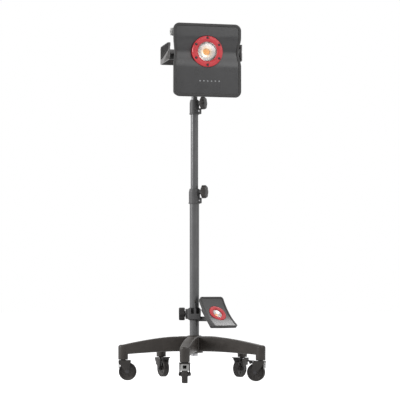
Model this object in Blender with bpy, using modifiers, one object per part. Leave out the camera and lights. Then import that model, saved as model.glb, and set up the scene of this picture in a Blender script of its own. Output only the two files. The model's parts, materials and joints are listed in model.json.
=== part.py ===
"""Wheeled light stand: a five-legged caster base, a telescopic pole, a square
work lamp in a yoke on top and a small pad lamp clamped low on the pole.

Metres, +Z up, -Y towards the front. The origin is on the floor, at the centre
of the object's box. The pole stands a little off it, at POLE_X and POLE_Y.
"""

import math

import bmesh
import bpy
from mathutils import Matrix, Vector

# Whole stand
POLE_X, POLE_Y = 0.0104, 0.0146
GAP = 0.0003
TURNED_GAP = 0.0007
ROUND_STEPS = 24

# Star base
LEG_COUNT = 5
FIRST_LEG_TURN = math.radians(-7.2)
HUB_RADIUS, HUB_BOTTOM, HUB_TOP = 0.036, 0.112, 0.184
STEM_RING_RADIUS = 0.301
LEG_WIDTH = 0.039
LEG_TOP_AT_HUB, LEG_BOTTOM_AT_HUB = 0.180, 0.1185
LEG_TOP_DROP, LEG_BOTTOM_DROP = 0.313, 0.109
LEG_LEVEL_TO = 0.080
SLEEVE_RADIUS, SLEEVE_BOTTOM = 0.0205, 0.086
BOLT_RADIUS, BOLT_HEAD_RADIUS, BOLT_BOTTOM, BOLT_TOP = 0.0065, 0.0145, 0.0975, 0.136
STEM_RADIUS, STEM_TOP = 0.0055, 0.116

# Casters
WHEEL_RADIUS, WHEEL_WIDTH = 0.0375, 0.024
WHEEL_STEPS = 24
AXLE_Z = WHEEL_RADIUS * math.cos(math.pi / WHEEL_STEPS)
AXLE_RADIUS = 0.004
TRAIL = 0.019
FORK_INNER, CHEEK = 0.034, 0.005
FORK_TOP, FORK_CROWN_BOTTOM = 0.0835, 0.077
PEDAL_PIN = (0.027, 0.0805)
PEDAL_PIN_RADIUS = 0.002
BOSS_RADIUS = 0.0085
SHOE_GAP = 0.0032
FLANGE_RADIUS = 0.011
AXLE_HEAD_RADIUS, AXLE_HEAD_THICK = 0.0065, 0.003

# Pole: outer radius, inner radius, lower end, upper end
LOWER_TUBE = (0.0200, 0.0180, 0.122, 0.772)
MIDDLE_TUBE = (0.0160, 0.0142, 0.480, 1.150)
TOP_TUBE = (0.0125, 0.0110, 0.720, 1.378)
# Collars: lower end, upper end, radius, reach of the lug, knob height, knob distance, knob radius
MIDDLE_COLLAR = (0.736, 0.799, 0.0235, 0.0305, 0.786, 0.0440, 0.0280)
UPPER_COLLAR = (1.113, 1.175, 0.0203, 0.0290, 1.160, 0.0395, 0.0270)
KNOB_TURN = math.radians(-18)
KNOB_THICK = 0.020
SCREW_RADIUS = 0.004
PIN_RADIUS = 0.005

# Square lamp, in the yoke's frame: X across, -Y forwards, pole axis at 0, 0
LAMP_YAW = math.radians(13.2)
LAMP_Z = 1.312
LAMP_HALF_WIDTH, LAMP_HALF_HEIGHT = 0.143, 0.151
LAMP_CORNER = 0.026
FACE_Y, BEZEL_BACK_Y, HOUSING_BACK_Y = -0.240, -0.186, -0.130
BEZEL_TAPER = 0.011
RIM, RIM_PROUD, LEDGE, LEDGE_Y = 0.012, 0.003, 0.019, -0.205
RING_Z = 1.348
RING_RADIUS, RING_INNER = 0.064, 0.040
VALLEY_HALF, VALLEY_DEPTH, WAIST = 0.064, 0.014, 0.004
TILT_Y, TILT_Z = -0.168, 1.332
TRUNNION_RADIUS = 0.014
YOKE_HALF, YOKE_PLATE, YOKE_CORNER = 0.154, 0.005, 0.014
YOKE_BOTTOM, YOKE_TOP = 1.316, 1.383
YOKE_BACK_Y, YOKE_FRONT_Y = -0.021, -0.205
GRIP_BACK_Y, GRIP_FRONT_Y = -0.056, -0.194
GRIP_BOTTOM, GRIP_THICK, GRIP_LIP = 1.348, 0.0032, 0.012
SOCKET_RADIUS, SOCKET_BOTTOM, SOCKET_TOP = 0.020, 1.296, 1.392
SOCKET_KNOB_Z = 1.330
BUTTON_Z, BUTTON_RADIUS = 1.222, 0.009
SIDE_BOSS_RADIUS, SIDE_BOSS_Y, SIDE_BOSS_Z, SIDE_BOSS_OUT = 0.0155, -0.168, 1.435, 0.140
FIN_COUNT, FIN_HALF, FIN_REACH, FIN_BOTTOM, FIN_TOP = 9, 0.080, 0.018, 1.252, 1.402
SOCKET_KNOB_OUT, SOCKET_KNOB_RADIUS, SOCKET_KNOB_THICK = 0.036, 0.019, 0.012
LENS_MARGIN, LENS_FRONT, LENS_BACK = 0.0020, 0.0083, 0.0112
LIGHT_RADIUS = 0.0120

# Pad lamp, in its own frame: X across, +Y up its slope, +Z out of its face
PAD_CENTRE = Vector((0.097, -0.062, 0.2776))
PAD_NORMAL = Vector((0.437, -0.601, 0.669)).normalized()
PAD_WIDTH, PAD_HEIGHT, PAD_THICK = 0.121, 0.163, 0.012
PAD_FRONT, PAD_SAG, PAD_POCKET, PAD_FRAME = 0.040, 0.012, 0.002, 0.007
PAD_BOX_LOW, PAD_BOX_HIGH = 0.013, 0.037
PAD_CORNER = 0.012
PAD_RING_Y, PAD_RING_RADIUS, PAD_LENS_RADIUS = 0, 0.038, 0.021
PAD_HINGE_DROP = 0.040
PAD_BOX_WIDTH, PAD_BOX_HEIGHT, PAD_BOX_UP = 0.106, 0.096, -0.012
LUG_THICK, LUG_WIDTH, LUG_X = 0.005, 0.018, 0.0190
CLAMP_BOTTOM, CLAMP_TOP = 0.250, 0.298
CLAMP_WIDTH, CLAMP_DEPTH = 0.056, 0.062
CLAMP_BOSS_RADIUS, CLAMP_BOSS_OUT = 0.0215, 0.0375
CLAMP_KNOB_OUT, CLAMP_KNOB_RADIUS, CLAMP_KNOB_THICK = 0.0525, 0.027, 0.025
LINER_THICK = 0.0025
ARM_Z, ARM_WIDTH, ARM_HEIGHT = 0.2535, 0.012, 0.015
EYE_RADIUS, EYE_HALF, HINGE_PIN_RADIUS, HINGE_PIN_HALF = 0.0085, 0.0160, 0.0025, 0.0230
POST_SPOT = (0.003, -0.0290, 0)
POST_RADIUS, POST_CAP_RADIUS, POST_CAP_BOTTOM, POST_CAP_TOP = 0.003, 0.006, 0.322, 0.332
POCKET_SIZE = (0.012, 0.030, 0.026)

# Colours: base colour, roughness, metallic
FINISHES = {
    "base_black": ((0.055, 0.052, 0.050), 0.45, 0.0),
    "tube_grey": ((0.115, 0.115, 0.120), 0.38, 0.6),
    "collar_grey": ((0.150, 0.150, 0.155), 0.55, 0.0),
    "knob_black": ((0.045, 0.042, 0.040), 0.60, 0.0),
    "rubber_black": ((0.035, 0.034, 0.034), 0.80, 0.0),
    "wheel_black": ((0.050, 0.047, 0.047), 0.55, 0.0),
    "steel": ((0.450, 0.450, 0.460), 0.30, 1.0),
    "lamp_shell": ((0.085, 0.085, 0.088), 0.50, 0.0),
    "lamp_face": ((0.095, 0.095, 0.098), 0.35, 0.2),
    "lamp_red": ((0.620, 0.040, 0.045), 0.40, 0.0),
    "reflector": ((0.850, 0.850, 0.860), 0.12, 1.0),
    "lens_clear": ((0.950, 0.950, 0.950), 0.05, 0.0),
    "led_yellow": ((0.900, 0.480, 0.080), 0.50, 0.0),
}


# Setting up

def clear_scene():
    for old in list(bpy.data.objects):
        bpy.data.objects.remove(old, do_unlink=True)


def new_collection(name):
    made = bpy.data.collections.new(name)
    bpy.context.scene.collection.children.link(made)
    return made


clear_scene()
PARTS = new_collection("wheeled_light_stand")
CUTTERS = new_collection("cutters")


def finish(name):
    """The material of that name, made when it is first asked for."""
    if name in bpy.data.materials:
        return bpy.data.materials[name]
    colour, roughness, metallic = FINISHES[name]
    made = bpy.data.materials.new(name)
    made.use_nodes = True
    shader = made.node_tree.nodes["Principled BSDF"]
    shader.inputs["Base Color"].default_value = (*colour, 1)
    shader.inputs["Roughness"].default_value = roughness
    shader.inputs["Metallic"].default_value = metallic
    made.diffuse_color = (*colour, 1)
    return made


def frame_at(name, parent, place=(0, 0, 0), turn=(0, 0, 0)):
    """An empty that carries pieces: a joint's axis or a sub-assembly's frame."""
    made = bpy.data.objects.new(name, None)
    PARTS.objects.link(made)
    made.parent = parent
    made.location = place
    made.rotation_euler = turn
    return made


def smooth_shaded(mesh):
    mesh.shade_smooth()
    mesh.set_sharp_from_angle(angle=math.radians(35))


def piece(name, mesh, material, parent, place=(0, 0, 0), turn=(0, 0, 0)):
    """A named sub-part with its material, carried by its parent."""
    made = bpy.data.objects.new(name, mesh)
    PARTS.objects.link(made)
    made.parent = parent
    made.location = place
    made.rotation_euler = turn
    smooth_shaded(mesh)
    mesh.materials.clear()
    mesh.materials.append(finish(material))
    return made


# Shapes, each returned as a mesh

def mesh_of(bm, name):
    bmesh.ops.recalc_face_normals(bm, faces=bm.faces)
    mesh = bpy.data.meshes.new(name)
    bm.to_mesh(mesh)
    bm.free()
    return mesh


def box(size, centre=(0, 0, 0)):
    bm = bmesh.new()
    bmesh.ops.create_cube(bm, size=1)
    bmesh.ops.scale(bm, vec=size, verts=bm.verts)
    bmesh.ops.translate(bm, vec=centre, verts=bm.verts)
    return mesh_of(bm, "box")


def cylinder(radius, low, high, steps=ROUND_STEPS, axis="Z", top_radius=None):
    """A cylinder or cone between low and high along the axis. Its first face,
    not its first edge, points along the axis that comes next."""
    bm = bmesh.new()
    bmesh.ops.create_cone(
        bm, cap_ends=True, segments=steps, depth=high - low,
        radius1=radius, radius2=radius if top_radius is None else top_radius,
    )
    bmesh.ops.rotate(bm, matrix=Matrix.Rotation(math.pi / steps, 3, "Z"), verts=bm.verts)
    bmesh.ops.translate(bm, vec=(0, 0, (low + high) / 2), verts=bm.verts)
    turn_to(bm, axis)
    return mesh_of(bm, "cylinder")


def turn_to(bm, axis):
    """Turns what was made along +Z so that it runs along +X or +Y."""
    if axis == "X":
        bmesh.ops.rotate(bm, matrix=Matrix.Rotation(math.pi / 2, 3, "Y"), verts=bm.verts)
    if axis == "Y":
        bmesh.ops.rotate(bm, matrix=Matrix.Rotation(-math.pi / 2, 3, "X"), verts=bm.verts)


def evaluated(obj):
    """The mesh that an object's curve or modifiers make. The object is removed."""
    CUTTERS.objects.link(obj)
    graph = bpy.context.evaluated_depsgraph_get()
    bm = bmesh.new()
    bm.from_mesh(bpy.data.meshes.new_from_object(obj.evaluated_get(graph)))
    bpy.data.objects.remove(obj)
    bmesh.ops.remove_doubles(bm, verts=bm.verts, dist=1e-6)
    return bm


def turned(profile, steps=ROUND_STEPS, axis="Z"):
    """An outline of (radius, height) points turned about the axis. It is
    closed, or starts and ends on the axis."""
    half_step = math.pi / steps
    points = [(r * math.cos(half_step), r * math.sin(half_step), h) for r, h in profile]
    edges = [(i, i + 1) for i in range(len(points) - 1)]
    if min(r for r, _ in profile) > 1e-9:
        edges.append((len(points) - 1, 0))
    line = bpy.data.meshes.new("profile")
    line.from_pydata(points, edges, [])
    obj = bpy.data.objects.new("profile", line)
    screw = obj.modifiers.new("screw", "SCREW")
    screw.steps = steps
    screw.render_steps = steps
    screw.use_merge_vertices = True
    screw.merge_threshold = 1e-5
    bm = evaluated(obj)
    turn_to(bm, axis)
    return mesh_of(bm, "turned")


def plate(outline, low, high, axis="Z"):
    """A flat outline of (x, y) points, as thick as from low to high. Along Y
    the outline's points are (x, z), and along X they are (y, z)."""
    curve = bpy.data.curves.new("outline", "CURVE")
    curve.dimensions = "2D"
    curve.fill_mode = "BOTH"
    curve.extrude = (high - low) / 2
    spline = curve.splines.new("POLY")
    spline.points.add(len(outline) - 1)
    for point, (x, y) in zip(spline.points, outline):
        point.co = (x, y, 0, 1)
    spline.use_cyclic_u = True
    bm = evaluated(bpy.data.objects.new("outline", curve))
    bmesh.ops.translate(bm, vec=(0, 0, (low + high) / 2), verts=bm.verts)
    swap = {
        "X": Matrix(((0, 0, 1), (1, 0, 0), (0, 1, 0))),
        "Y": Matrix(((1, 0, 0), (0, 0, 1), (0, 1, 0))),
        "Z": Matrix.Identity(3),
    }
    bmesh.ops.transform(bm, matrix=swap[axis].to_4x4(), verts=bm.verts)
    return mesh_of(bm, "plate")


def arc(centre, radius, start, end, steps):
    """Points from start to end, in degrees."""
    turns = [math.radians(start + (end - start) * i / steps) for i in range(steps + 1)]
    return [(centre[0] + radius * math.cos(t), centre[1] + radius * math.sin(t)) for t in turns]


def rounded_rectangle(half_width, half_height, corner, steps=4):
    points = []
    for turn, sx, sy in ((0, 1, 1), (90, -1, 1), (180, -1, -1), (270, 1, -1)):
        centre = (sx * (half_width - corner), sy * (half_height - corner))
        points += arc(centre, corner, turn, turn + 90, steps)
    return points


# Joining, cutting and softening

def helper(mesh, parent, place=(0, 0, 0), turn=(0, 0, 0)):
    """A hidden object that joins or cuts a piece."""
    made = bpy.data.objects.new("helper", mesh)
    CUTTERS.objects.link(made)
    made.parent = parent
    made.location = place
    made.rotation_euler = turn
    made.hide_render = True
    made.display_type = "WIRE"
    return made


def boolean(obj, mesh, operation, place=(0, 0, 0), turn=(0, 0, 0)):
    """Joins a shape to a piece or cuts it away, in the piece's own frame."""
    modifier = obj.modifiers.new(operation.lower(), "BOOLEAN")
    modifier.operation = operation
    modifier.object = helper(mesh, obj, place, turn)
    return obj


def join(obj, mesh, place=(0, 0, 0), turn=(0, 0, 0)):
    return boolean(obj, mesh, "UNION", place, turn)


def cut(obj, mesh, place=(0, 0, 0), turn=(0, 0, 0)):
    return boolean(obj, mesh, "DIFFERENCE", place, turn)


def soften(obj, width, segments=1, angle=40):
    """Rounds the sharp edges of a piece."""
    modifier = obj.modifiers.new("soft_edges", "BEVEL")
    modifier.width = width
    modifier.segments = segments
    modifier.limit_method = "ANGLE"
    modifier.angle_limit = math.radians(angle)
    modifier.use_clamp_overlap = True
    return obj


# Star base

LEG_NAMES = ("front", "right", "rear_right", "rear_left", "left")


def leg_edge(start, drop, r):
    """Height of a leg's upper or lower edge at radius r."""
    return start - drop * max(0, r - LEG_LEVEL_TO) ** 1.5


def leg_outline():
    inner, outer, steps = HUB_RADIUS - 0.004, STEM_RING_RADIUS, 7
    radii = [inner] + [LEG_LEVEL_TO + (outer - LEG_LEVEL_TO) * i / steps for i in range(steps + 1)]
    top = [(r, leg_edge(LEG_TOP_AT_HUB, LEG_TOP_DROP, r)) for r in radii]
    bottom = [(r, leg_edge(LEG_BOTTOM_AT_HUB, LEG_BOTTOM_DROP, r)) for r in radii]
    return bottom + top[::-1]


def sleeve_mesh():
    """The upright socket at a leg's tip, with a rounded top."""
    top = leg_edge(LEG_TOP_AT_HUB, LEG_TOP_DROP, STEM_RING_RADIUS)
    return turned([
        (0, SLEEVE_BOTTOM), (SLEEVE_RADIUS, SLEEVE_BOTTOM), (SLEEVE_RADIUS, top - 0.010),
        (SLEEVE_RADIUS - 0.004, top - 0.003), (SLEEVE_RADIUS - 0.011, top), (0, top),
    ])


def make_leg(name, parent):
    leg = piece(
        "leg_" + name, plate(leg_outline(), -LEG_WIDTH / 2, LEG_WIDTH / 2, "Y"),
        "base_black", parent,
    )
    soften(leg, 0.004, 2)
    join(leg, sleeve_mesh(), place=(STEM_RING_RADIUS, 0, 0))
    cut(leg, cylinder(STEM_RADIUS + GAP, 0.080, STEM_TOP + 0.002, 12), place=(STEM_RING_RADIUS, 0, 0))
    cut(leg, cylinder(HUB_RADIUS + TURNED_GAP, 0.090, 0.200))
    return leg


def make_hub(parent):
    seat = LOWER_TUBE[2] - 0.0005
    bore = LOWER_TUBE[0] + GAP
    piece("hub", turned([
        (HUB_RADIUS, HUB_TOP - 0.007), (HUB_RADIUS, HUB_BOTTOM), (BOLT_RADIUS + 0.0005, HUB_BOTTOM),
        (BOLT_RADIUS + 0.0005, seat), (bore, seat), (bore, HUB_TOP), (HUB_RADIUS - 0.006, HUB_TOP),
    ]), "base_black", parent)
    bolt = piece("pole_bolt", cylinder(BOLT_RADIUS, 0.105, BOLT_TOP, 16), "steel", parent)
    join(bolt, cylinder(BOLT_HEAD_RADIUS, BOLT_BOTTOM, HUB_BOTTOM - GAP, 6))


# Casters

def fork_outline():
    """The cheek's side view: crown at the stem, boss at the axle."""
    boss = arc((TRAIL, AXLE_Z), BOSS_RADIUS, 195, 350, 5)
    return [(-0.0185, FORK_TOP), (-0.0185, 0.074)] + boss + [
        (0.0315, FORK_CROWN_BOTTOM), (0.0315, FORK_TOP - 0.001), (0.0295, FORK_TOP),
    ]


def make_fork(name, parent):
    half = FORK_INNER / 2
    fork = piece(name + "_fork", plate(fork_outline(), -half - CHEEK, half + CHEEK, "Y"), "knob_black", parent)
    soften(fork, 0.003)
    cut(fork, box((0.120, FORK_INNER, 0.140), (0, 0, FORK_CROWN_BOTTOM - 0.070)))
    cut(fork, box((0.060, FORK_INNER, 0.140), (0.0195 + 0.030, 0, 0.070)))
    cut(fork, cylinder(STEM_RADIUS + 0.0008, 0.070, 0.090, 12))
    cut(fork, cylinder(AXLE_RADIUS + GAP, -0.03, 0.03, 12, "Y"), place=(TRAIL, 0, AXLE_Z))
    cut(fork, cylinder(PEDAL_PIN_RADIUS + GAP, -0.03, 0.03, 8, "Y"), place=(PEDAL_PIN[0], 0, PEDAL_PIN[1]))
    return fork


def wheel_mesh():
    """Tread, rounded shoulders, recessed web and a wide hub, about Y."""
    side = [(0.0043, 0.0166), (0.0095, 0.0166), (0.0100, 0.0070), (0.0260, 0.0060), (0.0300, 0.0090),
            (0.0345, WHEEL_WIDTH / 2), (WHEEL_RADIUS, 0.0065)]
    return turned(side + [(r, -h) for r, h in reversed(side)], WHEEL_STEPS, "Y")


def pedal_outline():
    """Side view of a brake pedal: toe plate, pin boss and shoe over the tread."""
    shoe = [(TRAIL + r * math.sin(t), AXLE_Z + r * math.cos(t))
            for r, t in ((WHEEL_RADIUS + SHOE_GAP, math.radians(36)), (WHEEL_RADIUS + SHOE_GAP, math.radians(24)))]
    return [(0.0225, 0.0835), (0.0225, 0.0790)] + shoe[::-1] + [
        (0.0465, 0.0800), (0.0550, 0.0815), (0.0555, 0.0855), (0.0440, 0.0850), (0.0330, 0.0850),
    ]


def make_pedal(name, parent):
    half = FORK_INNER / 2 - 0.001
    hinge = frame_at(name + "_brake_hinge", parent, (PEDAL_PIN[0], 0, PEDAL_PIN[1]))
    outline = [(x - PEDAL_PIN[0], z - PEDAL_PIN[1]) for x, z in pedal_outline()]
    pedal = piece(name + "_brake", plate(outline, -half, half, "Y"), "rubber_black", hinge)
    join(pedal, cylinder(PEDAL_PIN_RADIUS, -half - CHEEK - 0.002, half + CHEEK + 0.002, 8, "Y"))


def make_caster(leg_name, leg, trail_turn):
    """One caster under a leg's sleeve. Its own +X is the way the wheel trails."""
    name = "caster_" + leg_name
    piece(name + "_stem", turned([
        (0, 0.0778), (0.0058, 0.0778), (0.0058, FORK_TOP + GAP), (FLANGE_RADIUS, FORK_TOP + GAP),
        (FLANGE_RADIUS, SLEEVE_BOTTOM - GAP), (STEM_RADIUS, SLEEVE_BOTTOM - GAP), (STEM_RADIUS, STEM_TOP), (0, STEM_TOP),
    ], 12), "steel", leg, (STEM_RING_RADIUS, 0, 0))
    swivel = frame_at(name + "_swivel", leg, (STEM_RING_RADIUS, 0, 0), (0, 0, trail_turn))
    make_fork(name, swivel)
    axle_frame = frame_at(name + "_spin", swivel, (TRAIL, 0, AXLE_Z))
    piece(name + "_wheel", wheel_mesh(), "wheel_black", axle_frame)
    half = FORK_INNER / 2 + CHEEK
    axle = piece(name + "_axle", cylinder(AXLE_RADIUS, -half - 0.001, half + 0.001, 12, "Y"), "steel", swivel, (TRAIL, 0, AXLE_Z))
    for side in (-1, 1):
        low, high = sorted((side * (half + GAP), side * (half + AXLE_HEAD_THICK)))
        join(axle, cylinder(AXLE_HEAD_RADIUS, low, high, 12, "Y"))
    if leg_name != "left":
        make_pedal(name, swivel)


# World directions in which the wheels trail, from +X towards +Y
TRAIL_TURNS = {"front": 90, "right": 166, "rear_right": -126, "rear_left": -62, "left": 0}


def make_base(stand):
    make_hub(stand)
    for k, name in enumerate(LEG_NAMES):
        turn = FIRST_LEG_TURN + k * 2 * math.pi / LEG_COUNT - math.pi / 2
        leg_frame = frame_at("leg_frame_" + name, stand, turn=(0, 0, turn))
        make_leg(name, leg_frame)
        make_caster(name, leg_frame, math.radians(TRAIL_TURNS[name]) - turn)


# Pole

def make_tube(name, tube, parent):
    outer, inner, low, high = tube
    return piece(name, turned([(outer, low), (outer, high), (inner, high), (inner, low)]), "tube_grey", parent)


def make_guide_plug(name, tube, outer_tube, parent):
    """A plastic plug in a tube's lower end, which guides it in the next tube."""
    low = tube[2]
    flange, spigot, bore = outer_tube[1] - GAP, tube[1] - GAP, tube[1] - 0.004
    return piece(name, turned([
        (flange, low - 0.016), (flange, low - GAP), (spigot, low - GAP),
        (spigot, low + 0.018), (bore, low + 0.018), (bore, low - 0.016),
    ], 16), "rubber_black", parent)


def lobed_outline(radius, lobes, depth, steps_a_lobe=6):
    count = lobes * steps_a_lobe
    points = []
    for i in range(count):
        turn = 2 * math.pi * i / count
        r = radius - depth * (0.5 - 0.5 * math.cos(lobes * turn)) ** 2
        points.append((r * math.cos(turn), r * math.sin(turn)))
    return points


def make_knob(name, parent, radius, thick, reach, lobes=7, depth=0.0035):
    """A lobed hand knob. Its face points along +X, and its screw along -X."""
    knob = piece(name, plate(lobed_outline(radius, lobes, depth), -thick / 2, thick / 2, "X"), "knob_black", parent)
    soften(knob, 0.0025)
    join(knob, cylinder(radius * 0.45, -thick / 2 - 0.002, 0, 12, "X"))
    join(knob, cylinder(SCREW_RADIUS, -reach, 0, 12, "X"))
    return knob


def make_collar(name, collar, outer_tube, inner_tube, parent, knob_parent):
    """A clamp on the outer tube's mouth, with ears and a knob that grip the
    inner tube. The ears and the knob point along the turned +X."""
    low, high, radius, lug_reach, knob_z, knob_far, knob_radius = collar
    seat = outer_tube[3] + GAP
    shell = piece(name, turned([
        (radius + 0.001, low), (radius + 0.001, low + 0.005), (radius, low + 0.007),
        (radius, high - 0.014), (radius - 0.003, high), (inner_tube[0] - 0.002, high),
        (inner_tube[0] - 0.002, low),
    ], 20), "collar_grey", parent, turn=(0, 0, KNOB_TURN))
    ear = box((lug_reach - 0.010, 0.018, 0.024), ((lug_reach + 0.010) / 2, 0, low + 0.0135))
    join(shell, ear)
    boss_end = knob_far - KNOB_THICK / 2 - 0.0025
    join(shell, cylinder(0.010, 0.012, boss_end, 12, "X"), place=(0, 0, knob_z))
    cut(shell, cylinder(outer_tube[0] + TURNED_GAP, low - 0.010, seat))
    cut(shell, cylinder(inner_tube[0] + TURNED_GAP, low - 0.020, high + 0.010))
    cut(shell, cylinder(SCREW_RADIUS + GAP, inner_tube[0] - 0.002, boss_end + 0.005, 12, "X"), place=(0, 0, knob_z))
    cut(shell, box((0.030, 0.002, 0.040), (radius + 0.0155, 0, low + 0.0135)))
    spot = (knob_far * math.cos(KNOB_TURN), knob_far * math.sin(KNOB_TURN), knob_z)
    axis = frame_at(name + "_knob_axis", knob_parent, spot, (0, 0, KNOB_TURN))
    make_knob(name + "_knob", axis, knob_radius, KNOB_THICK, knob_far - inner_tube[0] - 2 * GAP)


def make_pole(stand):
    make_tube("lower_tube", LOWER_TUBE, stand)
    make_collar("middle_collar", MIDDLE_COLLAR, LOWER_TUBE, MIDDLE_TUBE, stand, stand)
    middle = frame_at("middle_slide", stand)
    make_tube("middle_tube", MIDDLE_TUBE, middle)
    make_guide_plug("middle_guide_plug", MIDDLE_TUBE, LOWER_TUBE, middle)
    make_collar("upper_collar", UPPER_COLLAR, MIDDLE_TUBE, TOP_TUBE, middle, middle)
    top = frame_at("top_slide", middle)
    make_tube("top_tube", TOP_TUBE, top)
    make_guide_plug("top_guide_plug", TOP_TUBE, MIDDLE_TUBE, top)
    return top


# Square lamp

def valley(z):
    """1 at the ring's height, falling to 0 at the valley's edges."""
    away = (z - RING_Z) / VALLEY_HALF
    return 0.5 + 0.5 * math.cos(math.pi * away) if abs(away) < 1 else 0.0


def valley_heights(steps=8):
    return [RING_Z + VALLEY_HALF * (2 * i / steps - 1) for i in range(steps + 1)]


def lamp_outline(inset):
    """The lamp's front outline, (x, z), drawn in by inset, with a waist at the valley."""
    half = LAMP_HALF_WIDTH - inset
    corners = rounded_rectangle(half, LAMP_HALF_HEIGHT - inset, max(LAMP_CORNER - inset, 0.006), 3)
    corners = [(x, z + LAMP_Z) for x, z in corners]
    quarter = len(corners) // 4
    side = [(half - WAIST * valley(z), z) for z in valley_heights()[1:-1]]
    right_top, left_top, left_foot, right_foot = (corners[i * quarter:(i + 1) * quarter] for i in range(4))
    left = [(-x, z) for x, z in reversed(side)]
    return side + right_top + left_top + left + left_foot + right_foot


def loft(sections):
    """A closed solid through lamp outlines, each given as (inset, y)."""
    bm = bmesh.new()
    rings = [[bm.verts.new((x, y, z)) for x, z in lamp_outline(inset)] for inset, y in sections]
    for ring, after in zip(rings, rings[1:]):
        for i in range(len(ring)):
            j = (i + 1) % len(ring)
            bm.faces.new((ring[i], ring[j], after[j], after[i]))
    bm.faces.new(rings[0])
    bm.faces.new(rings[-1])
    return mesh_of(bm, "loft")


def valley_section(front, back):
    """Outline (y, z): flat at y front, and at y back it follows the face's valley."""
    low, high = LAMP_Z - LAMP_HALF_HEIGHT, LAMP_Z + LAMP_HALF_HEIGHT
    follow = [(back + VALLEY_DEPTH * valley(z), z) for z in [low] + valley_heights() + [high]]
    return [(front, high), (front, low)] + follow


def lamp_piece(name, mesh, material, tilt):
    """A piece of the lamp head, drawn in the yoke's frame and carried by the tilt axis."""
    return piece(name, mesh, material, tilt, (0, -TILT_Y, -TILT_Z))


def make_bezel(tilt):
    bezel = lamp_piece("lamp_bezel", loft([
        (0.003, FACE_Y), (0, FACE_Y + 0.004), (BEZEL_TAPER, BEZEL_BACK_Y),
    ]), "lamp_shell", tilt)
    cut(bezel, loft([(RIM, FACE_Y - 0.020), (RIM, LEDGE_Y)]))
    cut(bezel, loft([(LEDGE, LEDGE_Y - 0.010), (LEDGE, BEZEL_BACK_Y + 0.010)]))
    cut(bezel, plate(valley_section(FACE_Y - 0.020, FACE_Y), -0.200, 0.200, "X"))


def make_face(tilt):
    """The sunken face plate: level above and below, with a valley at the ring."""
    front = FACE_Y + RIM_PROUD
    section = valley_section(front, front)[2:]
    wall = section + [(y + 0.004, z) for y, z in reversed(section)]
    face = lamp_piece("lamp_face", plate(wall, -0.150, 0.150, "X"), "lamp_face", tilt)
    boolean(face, loft([(RIM + GAP, FACE_Y - 0.010), (RIM + GAP, LEDGE_Y)]), "INTERSECT")
    cut(face, cylinder(RING_RADIUS + GAP, FACE_Y - 0.010, LEDGE_Y, 32, "Y"), place=(0, 0, RING_Z))


def fin_comb():
    """Plan outline (x, y) of the heat sink's fins, standing on the housing's back."""
    root, foot, tip = HOUSING_BACK_Y - 0.003, HOUSING_BACK_Y + 0.003, HOUSING_BACK_Y + FIN_REACH
    pitch, edge, half_fin = 2 * FIN_HALF / (FIN_COUNT - 1), 0.004, 0.0015
    points = [(FIN_HALF + edge, root), (-FIN_HALF - edge, root)]
    for i in range(FIN_COUNT):
        x = -FIN_HALF + i * pitch
        points += [(x - edge, foot), (x - half_fin, foot)] if i else []
        points += [(x - (half_fin if i else edge), tip), (x + half_fin, tip), (x + half_fin, foot)]
    points[-1] = (FIN_HALF + edge, foot)
    return points


def make_housing(tilt):
    front = BEZEL_BACK_Y + GAP
    housing = lamp_piece("lamp_housing", loft([
        (0.012, front), (0.012, front + 0.004), (0.017, front + 0.008),
        (0.024, HOUSING_BACK_Y - 0.012), (0.034, HOUSING_BACK_Y),
    ]), "lamp_shell", tilt)
    for side in (-1, 1):
        low, high = sorted((side * 0.108, side * SIDE_BOSS_OUT))
        join(housing, cylinder(SIDE_BOSS_RADIUS, low, high, 16, "X"), place=(0, SIDE_BOSS_Y, SIDE_BOSS_Z))
        low, high = sorted((side * 0.108, side * (YOKE_HALF - YOKE_PLATE - GAP)))
        join(housing, cylinder(TRUNNION_RADIUS, low, high, 16, "X"), place=(0, TILT_Y, TILT_Z))
        low, high = sorted((side * SIDE_BOSS_OUT, side * (YOKE_HALF + 0.0025)))
        join(housing, cylinder(PIN_RADIUS, low, high, 12, "X"), place=(0, TILT_Y, TILT_Z))
    join(housing, plate(fin_comb(), FIN_BOTTOM, FIN_TOP, "Z"))
    cut(housing, loft([
        (LEDGE, front - 0.010), (0.021, front + 0.008), (0.028, HOUSING_BACK_Y - 0.014),
        (0.036, HOUSING_BACK_Y - 0.004),
    ]))
    cut(housing, cylinder(BUTTON_RADIUS + GAP, HOUSING_BACK_Y - 0.020, HOUSING_BACK_Y + 0.010, 16, "Y"),
        place=(0, 0, BUTTON_Z))


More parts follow.
